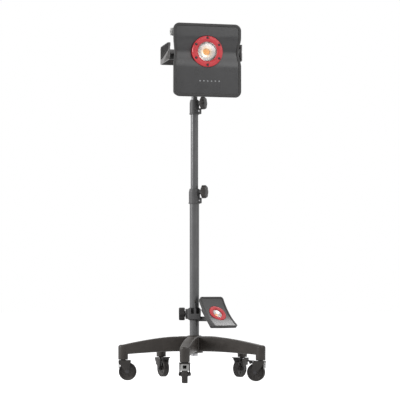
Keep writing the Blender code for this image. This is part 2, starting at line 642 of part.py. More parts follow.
def make_optics(tilt):
    ring_front = FACE_Y - 0.0015
    lens_back = ring_front + LENS_BACK
    spot = (0, -TILT_Y, RING_Z - TILT_Z)
    piece("lamp_ring", turned([
        (RING_RADIUS, ring_front + 0.029), (RING_RADIUS, ring_front + 0.003), (RING_RADIUS - 0.003, ring_front),
        (RING_INNER + 0.007, ring_front), (RING_INNER, ring_front + 0.004), (RING_INNER, ring_front + 0.008),
        (RING_INNER + 0.0023, ring_front + 0.008), (RING_INNER + 0.0023, ring_front + 0.029),
    ], 32, "Y"), "lamp_red", tilt, spot)
    piece("lamp_lens", cylinder(RING_INNER + LENS_MARGIN, ring_front + LENS_FRONT, lens_back, 28, "Y"), "lens_clear", tilt, spot)
    piece("lamp_reflector", turned([
        (0.0420, lens_back + GAP), (0.0395, lens_back + GAP), (0.0350, -0.2260), (0.0270, -0.2215),
        (0.0125, -0.2170), (0.0125, -0.2145), (0.0300, -0.2150), (0.0390, -0.2095),
        (0.0600, -0.2095), (0.0600, ring_front + 0.0293), (0.0420, ring_front + 0.0293),
    ], 24, "Y"), "reflector", tilt, spot)
    led = piece("lamp_led", cylinder(LIGHT_RADIUS, -0.2180, -0.1915, 16, "Y"), "led_yellow", tilt, spot)
    join(led, box((0.230, 0.0030, 0.120), (0, -0.1915, -0.010)))
    piece("lamp_battery", box((0.170, 0.038, 0.080), (0, -0.1535, LAMP_Z - 0.035 - TILT_Z)), "rubber_black", tilt,
          (0, -TILT_Y, 0))
    button = frame_at("power_button_axis", tilt, (0, HOUSING_BACK_Y - TILT_Y, BUTTON_Z - TILT_Z))
    piece("power_button", cylinder(BUTTON_RADIUS, -0.0035, 0.0035, 16, "Y"), "lamp_red", button)


def yoke_plan():
    """Plan outline (x, y) of the U-shaped strap: crossbar behind, two arms forwards."""
    inner_corner = YOKE_CORNER - YOKE_PLATE
    middle = (YOKE_HALF - YOKE_CORNER, YOKE_BACK_Y - YOKE_CORNER)
    outer = [(YOKE_HALF, YOKE_FRONT_Y)] + arc(middle, YOKE_CORNER, 0, 90, 3)
    inner = [(YOKE_HALF - YOKE_PLATE, YOKE_FRONT_Y)] + arc(middle, inner_corner, 0, 90, 3)
    return outer + [(-x, y) for x, y in reversed(outer)] + [(-x, y) for x, y in inner] + inner[::-1]


def grip_outline():
    """Cross-section (x, z) of a rubber grip that hooks over an arm's top edge."""
    outside, inside = YOKE_HALF + GAP, YOKE_HALF - YOKE_PLATE - GAP
    over = YOKE_TOP + GAP
    return [
        (outside, GRIP_BOTTOM), (outside + GRIP_THICK, GRIP_BOTTOM), (outside + GRIP_THICK, over + GRIP_THICK),
        (inside - GRIP_THICK, over + GRIP_THICK), (inside - GRIP_THICK, YOKE_TOP - GRIP_LIP),
        (inside, YOKE_TOP - GRIP_LIP), (inside, over), (outside, over),
    ]


def make_yoke(pan):
    yoke = piece("lamp_yoke", plate(yoke_plan(), YOKE_BOTTOM, YOKE_TOP), "lamp_shell", pan)
    cut(yoke, cylinder(PIN_RADIUS + TURNED_GAP, -0.200, 0.200, 12, "X"), place=(0, TILT_Y, TILT_Z))
    socket = piece("yoke_socket", turned([
        (0, SOCKET_TOP), (SOCKET_RADIUS - 0.004, SOCKET_TOP), (SOCKET_RADIUS, SOCKET_TOP - 0.004),
        (SOCKET_RADIUS, SOCKET_BOTTOM), (0.010, SOCKET_BOTTOM), (0.010, SOCKET_BOTTOM + 0.010), (0, SOCKET_BOTTOM + 0.010),
    ], 20), "collar_grey", pan)
    join(socket, box((0.064, 0.014, 0.052), (0, YOKE_BACK_Y + GAP + 0.007, 1.350)))
    join(socket, cylinder(0.010, 0.010, 0.0275, 12, "Y"), place=(0, 0, SOCKET_KNOB_Z))
    cut(socket, cylinder(TOP_TUBE[0] + GAP, SOCKET_BOTTOM - 0.010, TOP_TUBE[3] + GAP))
    cut(socket, cylinder(SCREW_RADIUS + GAP, 0.008, 0.040, 12, "Y"), place=(0, 0, SOCKET_KNOB_Z))
    turn = math.pi / 2
    axis = frame_at("socket_knob_axis", pan, (0, SOCKET_KNOB_OUT, SOCKET_KNOB_Z), (0, 0, turn))
    reach = SOCKET_KNOB_OUT - TOP_TUBE[0] - 2 * GAP
    make_knob("socket_knob", axis, SOCKET_KNOB_RADIUS, SOCKET_KNOB_THICK, reach, 6, 0.0025)
    for side, name in ((-1, "left"), (1, "right")):
        outline = [(side * x, z) for x, z in grip_outline()]
        piece("grip_" + name, plate(outline, GRIP_FRONT_Y, GRIP_BACK_Y, "Y"), "rubber_black", pan)


def make_lamp(top):
    pan = frame_at("lamp_pan", top, turn=(0, 0, LAMP_YAW))
    make_yoke(pan)
    tilt = frame_at("lamp_tilt", pan, (0, TILT_Y, TILT_Z))
    make_bezel(tilt)
    make_face(tilt)
    make_housing(tilt)
    make_optics(tilt)


# Pad lamp

def pad_axes():
    """The pad's own frame: X level across it, Y up its slope, Z out of its face."""
    across = Vector((-PAD_NORMAL.y, PAD_NORMAL.x, 0)).normalized()
    up = PAD_NORMAL.cross(across)
    return Matrix((across, up, PAD_NORMAL)).transposed()


def pad_band(inset, low, high, steps=10):
    """A curved slab, as wide and high as the pad less inset. It runs from low
    to high above the pad's hollow front."""
    half = PAD_HEIGHT / 2
    along = [(half - inset) * (2 * i / steps - 1) for i in range(steps + 1)]
    curve = [(y, PAD_FRONT + PAD_SAG * (y / half) ** 2) for y in along]
    outline = [(y, z + low) for y, z in curve] + [(y, z + high) for y, z in reversed(curve)]
    return plate(outline, inset - PAD_WIDTH / 2, PAD_WIDTH / 2 - inset, "X")


def make_pad_head(tilt):
    """Drawn with the hinge axis at 0, 0 and the pad's hollow front PAD_FRONT above it."""
    shell = piece("pad_housing", pad_band(0, -PAD_THICK, 0), "lamp_shell", tilt)
    outline = rounded_rectangle(PAD_WIDTH / 2, PAD_HEIGHT / 2, PAD_CORNER, 3)
    boolean(shell, plate(outline, 0, 2 * PAD_FRONT), "INTERSECT")
    soften(shell, 0.0022)
    case = (PAD_BOX_WIDTH, PAD_BOX_HEIGHT, PAD_BOX_HIGH - PAD_BOX_LOW)
    join(shell, box(case, (0, PAD_BOX_UP, (PAD_BOX_HIGH + PAD_BOX_LOW) / 2)))
    for side in (-1, 1):
        join(shell, box((LUG_THICK, LUG_WIDTH, PAD_BOX_LOW + 0.010), (side * LUG_X, 0, (PAD_BOX_LOW - 0.008) / 2)))
    cut(shell, pad_band(PAD_FRAME, -PAD_POCKET, 0.020))
    seat = (0, PAD_RING_Y, PAD_FRONT + 0.001)
    cut(shell, cylinder(PAD_RING_RADIUS + GAP, -0.014, 0.010, 24), place=seat)
    cut(shell, cylinder(HINGE_PIN_RADIUS + GAP, -0.030, 0.030, 10, "X"))
    rim, lens = PAD_RING_RADIUS, PAD_LENS_RADIUS
    piece("pad_ring", turned([
        (rim, -0.0135), (rim, -0.0005), (rim - 0.002, 0.0015), (lens + 0.004, 0.0015), (lens, -0.001),
        (lens, -0.004), (lens + 0.002, -0.004), (lens + 0.002, -0.0135),
    ]), "lamp_red", tilt, seat)
    piece("pad_lens", cylinder(lens + 0.0017, -0.0130, -0.0043, 20), "lens_clear", tilt, seat)


def make_clamp(turn_axis, hinge_spot):
    """The pole clamp: a block round the liner, a screw boss on the left, and an
    arm that ends in the pad's hinge eye."""
    middle = (CLAMP_BOTTOM + CLAMP_TOP) / 2
    height = CLAMP_TOP - CLAMP_BOTTOM
    block = piece("pad_clamp", box((CLAMP_WIDTH, CLAMP_DEPTH, height), (-0.001, -0.003, middle)), "collar_grey", turn_axis)
    soften(block, 0.006, 1)
    join(block, cylinder(CLAMP_BOSS_RADIUS, -CLAMP_BOSS_OUT, -0.020, 20, "X"), place=(0, 0, middle))
    arm_turn = math.atan2(hinge_spot.y, hinge_spot.x)
    arm_far = math.hypot(hinge_spot.x, hinge_spot.y)
    arm_start = 0.015
    arm = box((arm_far - arm_start, ARM_WIDTH, ARM_HEIGHT), ((arm_far + arm_start) / 2, 0, ARM_Z))
    join(block, arm, turn=(0, 0, arm_turn))
    eye_turn = math.atan2(pad_axes().col[0].y, pad_axes().col[0].x)
    join(block, cylinder(EYE_RADIUS, -EYE_HALF, EYE_HALF, 16, "X"), place=hinge_spot, turn=(0, 0, eye_turn))
    pin = cylinder(HINGE_PIN_RADIUS, -HINGE_PIN_HALF, HINGE_PIN_HALF, 10, "X")
    join(block, pin, place=hinge_spot, turn=(0, 0, eye_turn))
    join(block, cylinder(POST_RADIUS, CLAMP_BOTTOM + 0.010, POST_CAP_BOTTOM + 0.002, 10), place=POST_SPOT)
    join(block, cylinder(POST_CAP_RADIUS, POST_CAP_BOTTOM, POST_CAP_TOP, 12), place=POST_SPOT)
    cut(block, cylinder(LOWER_TUBE[0] + LINER_THICK + GAP, CLAMP_BOTTOM - 0.010, CLAMP_TOP + 0.010))
    for x in (0.0135, -0.0080):
        cut(block, box(POCKET_SIZE, (x, -0.025, CLAMP_TOP - 0.010)))
    cut(block, cylinder(SCREW_RADIUS + GAP, -0.060, -0.015, 12, "X"), place=(0, 0, middle))


def make_pad_lamp(stand):
    slide = frame_at("pad_clamp_slide", stand)
    outer = LOWER_TUBE[0] + LINER_THICK
    piece("clamp_liner", turned([
        (outer, CLAMP_BOTTOM - 0.002), (outer, CLAMP_TOP + 0.002),
        (LOWER_TUBE[0] + GAP, CLAMP_TOP + 0.002), (LOWER_TUBE[0] + GAP, CLAMP_BOTTOM - 0.002),
    ], 24), "rubber_black", slide)
    turn_axis = frame_at("pad_clamp_turn", slide)
    hinge_spot = PAD_CENTRE - PAD_HINGE_DROP * PAD_NORMAL
    make_clamp(turn_axis, hinge_spot)
    middle = (CLAMP_BOTTOM + CLAMP_TOP) / 2
    axis = frame_at("clamp_knob_axis", turn_axis, (-CLAMP_KNOB_OUT, 0, middle), (0, 0, math.pi))
    make_knob("clamp_knob", axis, CLAMP_KNOB_RADIUS, CLAMP_KNOB_THICK, CLAMP_KNOB_OUT - outer - 2 * GAP)
    tilt = frame_at("pad_tilt", turn_axis, hinge_spot, pad_axes().to_euler())
    make_pad_head(tilt)


def main():
    stand = frame_at("stand", None, (POLE_X, POLE_Y, 0))
    make_base(stand)
    top = make_pole(stand)
    make_lamp(top)
    make_pad_lamp(stand)


main()
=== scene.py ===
"""Wheeled light stand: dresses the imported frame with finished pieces.

Laid out as an add-on and run as a script. Metres, +Z up, -Y towards the front.
"""

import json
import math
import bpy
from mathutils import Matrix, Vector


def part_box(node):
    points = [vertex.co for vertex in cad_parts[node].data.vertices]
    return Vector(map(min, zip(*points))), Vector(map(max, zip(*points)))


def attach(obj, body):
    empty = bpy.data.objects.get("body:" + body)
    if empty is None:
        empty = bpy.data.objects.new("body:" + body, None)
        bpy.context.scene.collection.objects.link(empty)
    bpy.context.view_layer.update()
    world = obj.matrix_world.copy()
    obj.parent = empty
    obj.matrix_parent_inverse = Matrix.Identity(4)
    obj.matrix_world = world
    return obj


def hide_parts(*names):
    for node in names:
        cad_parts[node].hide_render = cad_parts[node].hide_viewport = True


bl_info = {
    "name": "Wheeled light stand",
    "version": (1, 0, 0),
    "blender": (4, 5, 0),
    "location": "3D View > Sidebar > Light stand",
    "description": "Finished pieces and materials for a light stand on casters",
    "category": "Object",
}

import bmesh
import bpy
from bpy.props import FloatProperty, FloatVectorProperty, IntProperty, PointerProperty
from mathutils import Matrix, Vector

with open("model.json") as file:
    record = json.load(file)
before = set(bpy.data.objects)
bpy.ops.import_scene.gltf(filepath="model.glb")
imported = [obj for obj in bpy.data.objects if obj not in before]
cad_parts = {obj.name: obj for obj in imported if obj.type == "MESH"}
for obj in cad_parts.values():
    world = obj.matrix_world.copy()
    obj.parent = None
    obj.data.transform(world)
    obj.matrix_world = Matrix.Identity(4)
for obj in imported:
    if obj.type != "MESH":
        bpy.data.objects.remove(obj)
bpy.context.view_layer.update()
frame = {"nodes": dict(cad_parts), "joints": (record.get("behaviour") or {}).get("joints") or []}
JOINTS = {joint["name"]: joint for joint in frame["joints"]}


# Places that come from the frame

def middle_of(node):
    low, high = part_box(node)
    return (Vector(low) + Vector(high)) / 2


def joint_place(name):
    return Vector(JOINTS[name]["pos_m"])


def joint_axis(name):
    return Vector(JOINTS[name]["axis"]).normalized()


POLE = Vector((*middle_of("lower_tube").xy, 0))
LAMP_YAW = math.atan2(joint_axis("lamp_tilt").y, joint_axis("lamp_tilt").x)
YOKE_PLACE = Matrix.Translation(POLE) @ Matrix.Rotation(LAMP_YAW, 4, "Z")
KNOB_TURN = math.atan2(joint_axis("middle_knob_turn").y, joint_axis("middle_knob_turn").x)
CASTERS = ("front", "right", "rear_right", "rear_left", "left")
GAP = 0.0003
FINE_STEPS = 96
MERGE_DISTANCE = 1e-6

# Square lamp, in the yoke's place: X across, -Y forwards
LAMP_Z = 1.312
LAMP_HALF_WIDTH, LAMP_HALF_HEIGHT, LAMP_CORNER = 0.143, 0.151, 0.026
FACE_Y, BEZEL_BACK_Y, HOUSING_BACK_Y = -0.240, -0.186, -0.130
RIM, LEDGE, LEDGE_Y = 0.012, 0.019, -0.205
RIM_PROUD = 0.003
RING_Z, RING_RADIUS, RING_INNER = 1.348, 0.064, 0.040
VALLEY_HALF, VALLEY_DEPTH, WAIST = 0.064, 0.014, 0.004
RING_FRONT = FACE_Y - 0.0015
BUTTON_Z = 1.222
TILT_Y, TILT_Z, SIDE_BOSS_Z = -0.168, 1.332, 1.435
BEZEL_TAPER, TAPER_START = 0.011, 0.004
DOTS_Z, DOT_PLACES = 1.2265, (-0.031, -0.015, 0.001, 0.017, 0.033, 0.049)
YOKE_HALF, YOKE_PLATE, YOKE_CORNER = 0.154, 0.005, 0.014
YOKE_BOTTOM, YOKE_TOP = 1.316, 1.383
YOKE_BACK_Y, YOKE_FRONT_Y = -0.021, -0.205

# Pad lamp, in its hinge's place: X along the hinge, +Y up the slope, +Z out of the face
PAD_NORMAL = Vector((0.437, -0.601, 0.669)).normalized()
PAD_WIDTH, PAD_HEIGHT, PAD_THICK, PAD_CORNER = 0.121, 0.163, 0.012, 0.012
PAD_FRONT, PAD_SAG, PAD_POCKET, PAD_FRAME = 0.040, 0.012, 0.002, 0.007
PAD_BOX_LOW, PAD_BOX_HIGH = 0.013, 0.037

# Base
STEM_RING_RADIUS, LEG_WIDTH, HUB_RADIUS = 0.301, 0.039, 0.036
LEG_TOP_AT_HUB, LEG_BOTTOM_AT_HUB = 0.180, 0.1185
LEG_TOP_DROP, LEG_BOTTOM_DROP, LEG_LEVEL_TO = 0.313, 0.109, 0.080
SLEEVE_RADIUS, SLEEVE_BOTTOM, SLEEVE_CROWN = 0.0205, 0.086, 0.0105
LEG_WALL, RECESS_FROM, RECESS_LENGTH, RECESS_DEPTH = 0.0075, 0.066, 0.196, 0.003
WHEEL_RADIUS, WHEEL_HALF = 0.0371, 0.012


# What a user would change

class StandSizes(bpy.types.PropertyGroup):
    """Sizes of the details that the frame doesn't set"""
    round_steps: IntProperty(name="Round steps", description="Faces round a turned piece",
                             default=72, min=24, max=128)
    edge_radius: FloatProperty(name="Edge radius", description="Rounding of moulded edges",
                               default=0.0010, min=0.0002, max=0.003, unit="LENGTH")
    ring_screws: IntProperty(name="Ring screws", description="Screws in the red ring", default=6,
                             min=3, max=12)
    knob_lobes: IntProperty(name="Knob lobes", description="Finger lobes of a hand knob", default=7,
                            min=5, max=9)
    fin_count: IntProperty(name="Fins", description="Cooling fins on the lamp's back", default=9,
                           min=5, max=15)
    tread_groove: FloatProperty(name="Tread groove",
                                description="Depth of the grooves in a caster's tread",
                                default=0.0006, min=0, max=0.002, unit="LENGTH")


class StandColours(bpy.types.PropertyGroup):
    """Base colours of the finishes"""
    base: FloatVectorProperty(name="Base", description="Black plastic of legs and hub",
                              subtype="COLOR", size=3, default=(0.041, 0.035, 0.031), min=0, max=1)
    tube: FloatVectorProperty(name="Tubes", description="Satin paint of the mast", subtype="COLOR",
                              size=3, default=(0.106, 0.106, 0.108), min=0, max=1)
    collar: FloatVectorProperty(name="Collars", description="Grey plastic of collars and clamp",
                                subtype="COLOR", size=3, default=(0.085, 0.084, 0.085), min=0,
                                max=1)
    knob: FloatVectorProperty(name="Knobs", description="Black plastic of knobs and forks",
                              subtype="COLOR", size=3, default=(0.028, 0.025, 0.023), min=0, max=1)
    shell: FloatVectorProperty(name="Lamp shell", description="Grained plastic of the lamps",
                               subtype="COLOR", size=3, default=(0.051, 0.050, 0.050), min=0, max=1)
    face: FloatVectorProperty(name="Lamp face", description="Satin plastic of the sunken face",
                              subtype="COLOR", size=3, default=(0.056, 0.056, 0.057), min=0, max=1)
    red: FloatVectorProperty(name="Ring", description="Red plastic of rings and button",
                             subtype="COLOR", size=3, default=(0.720, 0.050, 0.062), min=0, max=1)
    phosphor: FloatVectorProperty(name="Light source",
                                  description="Yellow layer on the light source", subtype="COLOR",
                                  size=3, default=(0.850, 0.330, 0.055), min=0, max=1)


class StageSettings(bpy.types.PropertyGroup):
    """Camera and lamps, as in the photograph"""
    lens: FloatProperty(name="Lens", description="Focal length of the camera", default=150, min=50,
                        max=300, unit="CAMERA")
    distance: FloatProperty(name="Distance", description="From the camera to the mast", default=7.0,
                            min=2, max=20, unit="LENGTH")
    height: FloatProperty(name="Height", description="Height of the camera", default=0.373, min=0,
                          max=3, unit="LENGTH")
    pitch: FloatProperty(name="Pitch", description="Upward tilt of the camera",
                         default=math.radians(3.1), subtype="ANGLE")
    key: FloatProperty(name="Key light", description="Power of the large lamp at the left",
                       default=195, min=0, subtype="POWER")
    overhead: FloatProperty(name="Overhead light", description="Power of the lamp above the front",
                            default=42, min=0, subtype="POWER")
    rear: FloatProperty(name="Rear light", description="Power of the lamp above and behind",
                        default=15, min=0, subtype="POWER")
    fill: FloatProperty(name="Fill light", description="Power of the soft lamp at the right",
                        default=10, min=0, subtype="POWER")


# Modelling steps

def select_only(obj):
    bpy.ops.object.select_all(action="DESELECT")
    obj.select_set(True)
    bpy.context.view_layer.objects.active = obj


def edit(obj):
    select_only(obj)
    bpy.ops.object.mode_set(mode="EDIT")
    bpy.ops.mesh.select_all(action="SELECT")
    return bmesh.from_edit_mesh(obj.data)


def leave_edit():
    bpy.ops.object.mode_set(mode="OBJECT")
    return bpy.context.object


def clean_up():
    """Merges what lies together and turns every face outwards, in edit mode."""
    bpy.ops.mesh.select_all(action="SELECT")
    bpy.ops.mesh.remove_doubles(threshold=MERGE_DISTANCE)
    bpy.ops.mesh.delete_loose(use_verts=True, use_edges=True, use_faces=False)
    bpy.ops.mesh.select_all(action="SELECT")
    bpy.ops.mesh.normals_make_consistent(inside=False)


def moved(obj, matrix):
    """Puts a piece in its place, with the place in its mesh."""
    obj.matrix_world = matrix
    select_only(obj)
    bpy.ops.object.transform_apply(location=True, rotation=True, scale=True)
    return obj


def along(axis):
    """Turns +Z to the named axis."""
    return {
        "X": Matrix.Rotation(math.pi / 2, 4, "Y"),
        "Y": Matrix.Rotation(-math.pi / 2, 4, "X"),
        "Z": Matrix.Identity(4),
    }[axis]


def at(x, y, z):
    return Matrix.Translation((x, y, z))


def turned_shape(profile, axis="Z", steps=None):
    """Spins an outline of (radius, height) points about the axis."""
    bpy.ops.object.select_all(action="DESELECT")
    bpy.ops.mesh.primitive_circle_add(vertices=len(profile), fill_type="NOTHING")
    obj = bpy.context.object
    for vertex, (radius, height) in zip(obj.data.vertices, profile):
        vertex.co = (radius, 0, height)
    edit(obj)
    bpy.ops.mesh.spin(
        steps=steps or bpy.context.scene.stand_sizes.round_steps, angle=2 * math.pi,
        center=(0, 0, 0), axis=(0, 0, 1),
    )
    clean_up()
    return moved(leave_edit(), along(axis))


def lofted_shape(sections, closed=False):
    """Extrudes a ring of points from section to section. It is closed with a
    face at each end, or runs back to its first section."""
    bpy.ops.object.select_all(action="DESELECT")
    bpy.ops.mesh.primitive_circle_add(vertices=len(sections[0]), fill_type="NOTHING")
    obj = bpy.context.object
    for vertex, place in zip(obj.data.vertices, sections[0]):
        vertex.co = place
    bm = edit(obj)
    order = {tuple(round(c, 7) for c in vertex.co): i for i, vertex in enumerate(bm.verts)}
    for section in list(sections[1:]) + ([sections[0]] if closed else []):
        bpy.ops.mesh.extrude_region_move(TRANSFORM_OT_translate={"value": (0, 0, 0)})
        bm = bmesh.from_edit_mesh(obj.data)
        places = {}
        for vertex in [v for v in bm.verts if v.select]:
            i = order[tuple(round(c, 7) for c in vertex.co)]
            vertex.co = section[i]
            places[tuple(round(c, 7) for c in vertex.co)] = i
        order = places
    bmesh.update_edit_mesh(obj.data)
    if not closed:
        bpy.ops.mesh.select_mode(type="EDGE")
        bpy.ops.mesh.select_all(action="DESELECT")
        bpy.ops.mesh.select_non_manifold()
        bpy.ops.mesh.fill_holes(sides=0)
        bpy.ops.mesh.select_mode(type="VERT")
    clean_up()
    return leave_edit()


def plate_shape(outline, low, high, axis="Z"):
    """A flat outline drawn out from low to high. Its points are (x, y) along
    Z, (x, z) along Y and (y, z) along X."""
    place = {
        "Z": lambda a, b, h: (a, b, h),
        "Y": lambda a, b, h: (a, h, b),
        "X": lambda a, b, h: (h, a, b),
    }[axis]
    return lofted_shape([[place(a, b, h) for a, b in outline] for h in (low, high)])


def eased(outline, setback, steps=3):
    """An outline with rounded corners, but for those on the axis."""
    result = []
    for i, corner in enumerate(outline):
        if abs(corner[0]) < 1e-9:
            result.append(tuple(corner))
            continue
        here, before, after = (Vector(p) for p in (corner, outline[i - 1],
                                                   outline[(i + 1) % len(outline)]))
        reach = min(setback, 0.45 * (before - here).length, 0.45 * (after - here).length)
        first = here + (before - here).normalized() * reach
        last = here + (after - here).normalized() * reach
        for step in range(steps + 1):
            t = step / steps
            result.append(tuple(first * (1 - t) ** 2 + here * (2 * t * (1 - t)) + last * t ** 2))
    return result


def arc(centre, radius, start, end, steps):
    """Points from start to end, in degrees."""
    turns = [math.radians(start + (end - start) * i / steps) for i in range(steps + 1)]
    return [(centre[0] + radius * math.cos(t), centre[1] + radius * math.sin(t)) for t in turns]


def rounded_rectangle(half_width, half_height, corner, steps=8):
    points = []
    for turn, sx, sy in ((0, 1, 1), (90, -1, 1), (180, -1, -1), (270, 1, -1)):
        centre = (sx * (half_width - corner), sy * (half_height - corner))
        points += arc(centre, corner, turn, turn + 90, steps)
    return points


def box_shape(size, centre=(0, 0, 0), radius=None, segments=2):
    """A block with rounded edges."""
    bpy.ops.object.select_all(action="DESELECT")
    bpy.ops.mesh.primitive_cube_add(size=1, location=centre, scale=size)
    obj = bpy.context.object
    bpy.ops.object.transform_apply(location=True, rotation=True, scale=True)
    edit(obj)
    radius = bpy.context.scene.stand_sizes.edge_radius if radius is None else radius
    bpy.ops.mesh.bevel(offset=min(radius, min(size) * 0.45), segments=segments, affect="EDGES")
    return leave_edit()


def rod_shape(radius, low, high, axis="Z", chamfer=0.0005, steps=None):
    """A turned rod with chamfered ends."""
    return turned_shape([
        (0, low), (radius - chamfer, low), (radius, low + chamfer),
        (radius, high - chamfer), (radius - chamfer, high), (0, high),
    ], axis, steps)


def hex_shape(radius, low, high, axis="Z"):
    """A hexagon head with its corners taken off."""
    head = rod_shape(radius, low, high, axis, radius * 0.12, 6)
    return rounded(head, 0.0003)


def joined(*shapes):
    """One object from several."""
    bpy.ops.object.select_all(action="DESELECT")
    for shape in shapes:
        shape.select_set(True)
    bpy.context.view_layer.objects.active = shapes[0]
    bpy.ops.object.join()
    return bpy.context.object


def combined(obj, operation, others):
    """Joins other shapes to a piece or cuts them away, one by one."""
    for other in others:
        modifier = obj.modifiers.new("combine", "BOOLEAN")
        modifier.operation = operation
        modifier.solver = "EXACT"
        modifier.object = other
        select_only(obj)
        bpy.ops.object.modifier_apply(modifier=modifier.name)
        bpy.data.objects.remove(other)
    return obj


def cut_away(obj, *cutters):
    return combined(obj, "DIFFERENCE", cutters)


def fused(obj, *others):
    return combined(obj, "UNION", others)


def rounded(obj, width, segments=2, angle=32):
    """Rounds the edges of a piece that are sharper than the angle."""
    modifier = obj.modifiers.new("round", "BEVEL")
    modifier.width = width
    modifier.segments = segments
    modifier.limit_method = "ANGLE"
    modifier.angle_limit = math.radians(angle)
    modifier.use_clamp_overlap = True
    select_only(obj)
    bpy.ops.object.modifier_apply(modifier=modifier.name)
    return obj


def copy_of(obj):
    """A copy with its own mesh."""
    select_only(obj)
    bpy.ops.object.duplicate(linked=False)
    return bpy.context.object


def finished(obj, name, body, slot, nodes=(), material=None, smooth=35):
    """Names a piece, gives it its material and hangs it on its body."""
    obj.name = obj.data.name = name
    obj.data.materials.clear()
    obj.data.materials.append(finish(material or slot))
    select_only(obj)
    bpy.ops.object.shade_smooth_by_angle(angle=math.radians(smooth))
    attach(obj, body)
    if nodes:
        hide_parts(*nodes)
    return obj


# Shader effects shared by the finishes

def put(tree, socket, value):
    """Sets a socket, or links it where the value is another node's output."""
    if isinstance(value, bpy.types.NodeSocket):
        tree.links.new(value, socket)
    else:
        socket.default_value = value


def mixed(tree, factor, first, second):
    node = tree.nodes.new("ShaderNodeMix")
    node.data_type = "RGBA"
    for index, value in ((0, factor), (6, first), (7, second)):
        put(tree, node.inputs[index], value)
    return node.outputs[2]


def sums(tree, operation, first, second=0.0):
    node = tree.nodes.new("ShaderNodeMath")
    node.operation = operation
    put(tree, node.inputs[0], first)
    put(tree, node.inputs[1], second)
    return node.outputs[0]


def ranged(tree, value, low, high, to_low=0.0, to_high=1.0):
    node = tree.nodes.new("ShaderNodeMapRange")
    for index, number in enumerate((value, low, high, to_low, to_high)):
        put(tree, node.inputs[index], number)
    return node.outputs[0]


def noise(tree, scale, detail=2.0, stretch=(1, 1, 1)):
    """Noise on Object coordinates, drawn out where stretch is small."""
    coordinates = tree.nodes.new("ShaderNodeTexCoord").outputs["Object"]
    mapping = tree.nodes.new("ShaderNodeMapping")
    mapping.inputs["Scale"].default_value = stretch
    tree.links.new(coordinates, mapping.inputs["Vector"])
    texture = tree.nodes.new("ShaderNodeTexNoise")
    tree.links.new(mapping.outputs["Vector"], texture.inputs["Vector"])
    put(tree, texture.inputs["Scale"], scale)
    texture.inputs["Detail"].default_value = detail
    return texture.outputs["Fac"]


def effect(name, inputs, outputs):
    """An empty shader group with float inputs and outputs."""
    tree = bpy.data.node_groups.new(name, "ShaderNodeTree")
    for label, default in inputs.items():
        tree.interface.new_socket(name=label, in_out="INPUT",
                                  socket_type="NodeSocketFloat").default_value = default
    for label in outputs:
        tree.interface.new_socket(name=label, in_out="OUTPUT", socket_type="NodeSocketFloat")
    return tree, tree.nodes.new("NodeGroupInput").outputs, tree.nodes.new("NodeGroupOutput").inputs


def make_grain_group():
    """Height of a moulded grain, and slow cloudy variation."""
    tree, given, result = effect("moulded_grain", {"Scale": 1400.0, "Cloud scale": 18.0},
                                 ("Height", "Clouds"))
    tree.links.new(noise(tree, given["Scale"], 3.0), result["Height"])
    tree.links.new(ranged(tree, noise(tree, given["Cloud scale"], 4.0), 0.3, 0.7), result["Clouds"])


def make_wear_group():
    """Mask of rubbed edges, broken up by noise."""
    tree, given, result = effect("rubbed_edges", {"Radius": 0.001, "Amount": 0.5}, ("Mask",))
    bevel = tree.nodes.new("ShaderNodeBevel")
    bevel.samples = 4
    tree.links.new(given["Radius"], bevel.inputs["Radius"])
    product = tree.nodes.new("ShaderNodeVectorMath")
    product.operation = "DOT_PRODUCT"
    tree.links.new(bevel.outputs["Normal"], product.inputs[0])
    tree.links.new(tree.nodes.new("ShaderNodeNewGeometry").outputs["Normal"], product.inputs[1])
    edge = ranged(tree, product.outputs["Value"], 0.985, 0.85)
    patches = ranged(tree, noise(tree, 160.0, 5.0), 0.40, 0.62)
    tree.links.new(sums(tree, "MULTIPLY", sums(tree, "MULTIPLY", edge, patches), given["Amount"]),
                   result["Mask"])


def make_dust_group():
    """Mask of dust that has settled on what faces upwards."""
    tree, given, result = effect("settled_dust", {"Amount": 0.3}, ("Mask",))
    normal = tree.nodes.new("ShaderNodeSeparateXYZ")
    tree.links.new(tree.nodes.new("ShaderNodeNewGeometry").outputs["Normal"], normal.inputs[0])
    upward = ranged(tree, normal.outputs["Z"], 0.2, 1.0, 0.15, 1.0)
    specks = ranged(tree, noise(tree, 45.0, 6.0), 0.38, 0.72)
    tree.links.new(sums(tree, "MULTIPLY", sums(tree, "MULTIPLY", upward, specks), given["Amount"]),
                   result["Mask"])


def placed_group(tree, name, **values):
    node = tree.nodes.new("ShaderNodeGroup")
    node.node_tree = bpy.data.node_groups[name]
    for label, value in values.items():
        node.inputs[label.replace("_", " ")].default_value = value
    return node.outputs


# Finishes

DUST_COLOUR, DUST_ROUGHNESS = (0.26, 0.24, 0.21, 1), 0.4
BUMP_DISTANCE, SPECULAR, COAT_ROUGHNESS = 0.0004, 0.32, 0.18


def shader_of(name):
    material = bpy.data.materials.new(name + "_finish")
    material.use_nodes = True
    return material, material.node_tree, material.node_tree.nodes["Principled BSDF"]


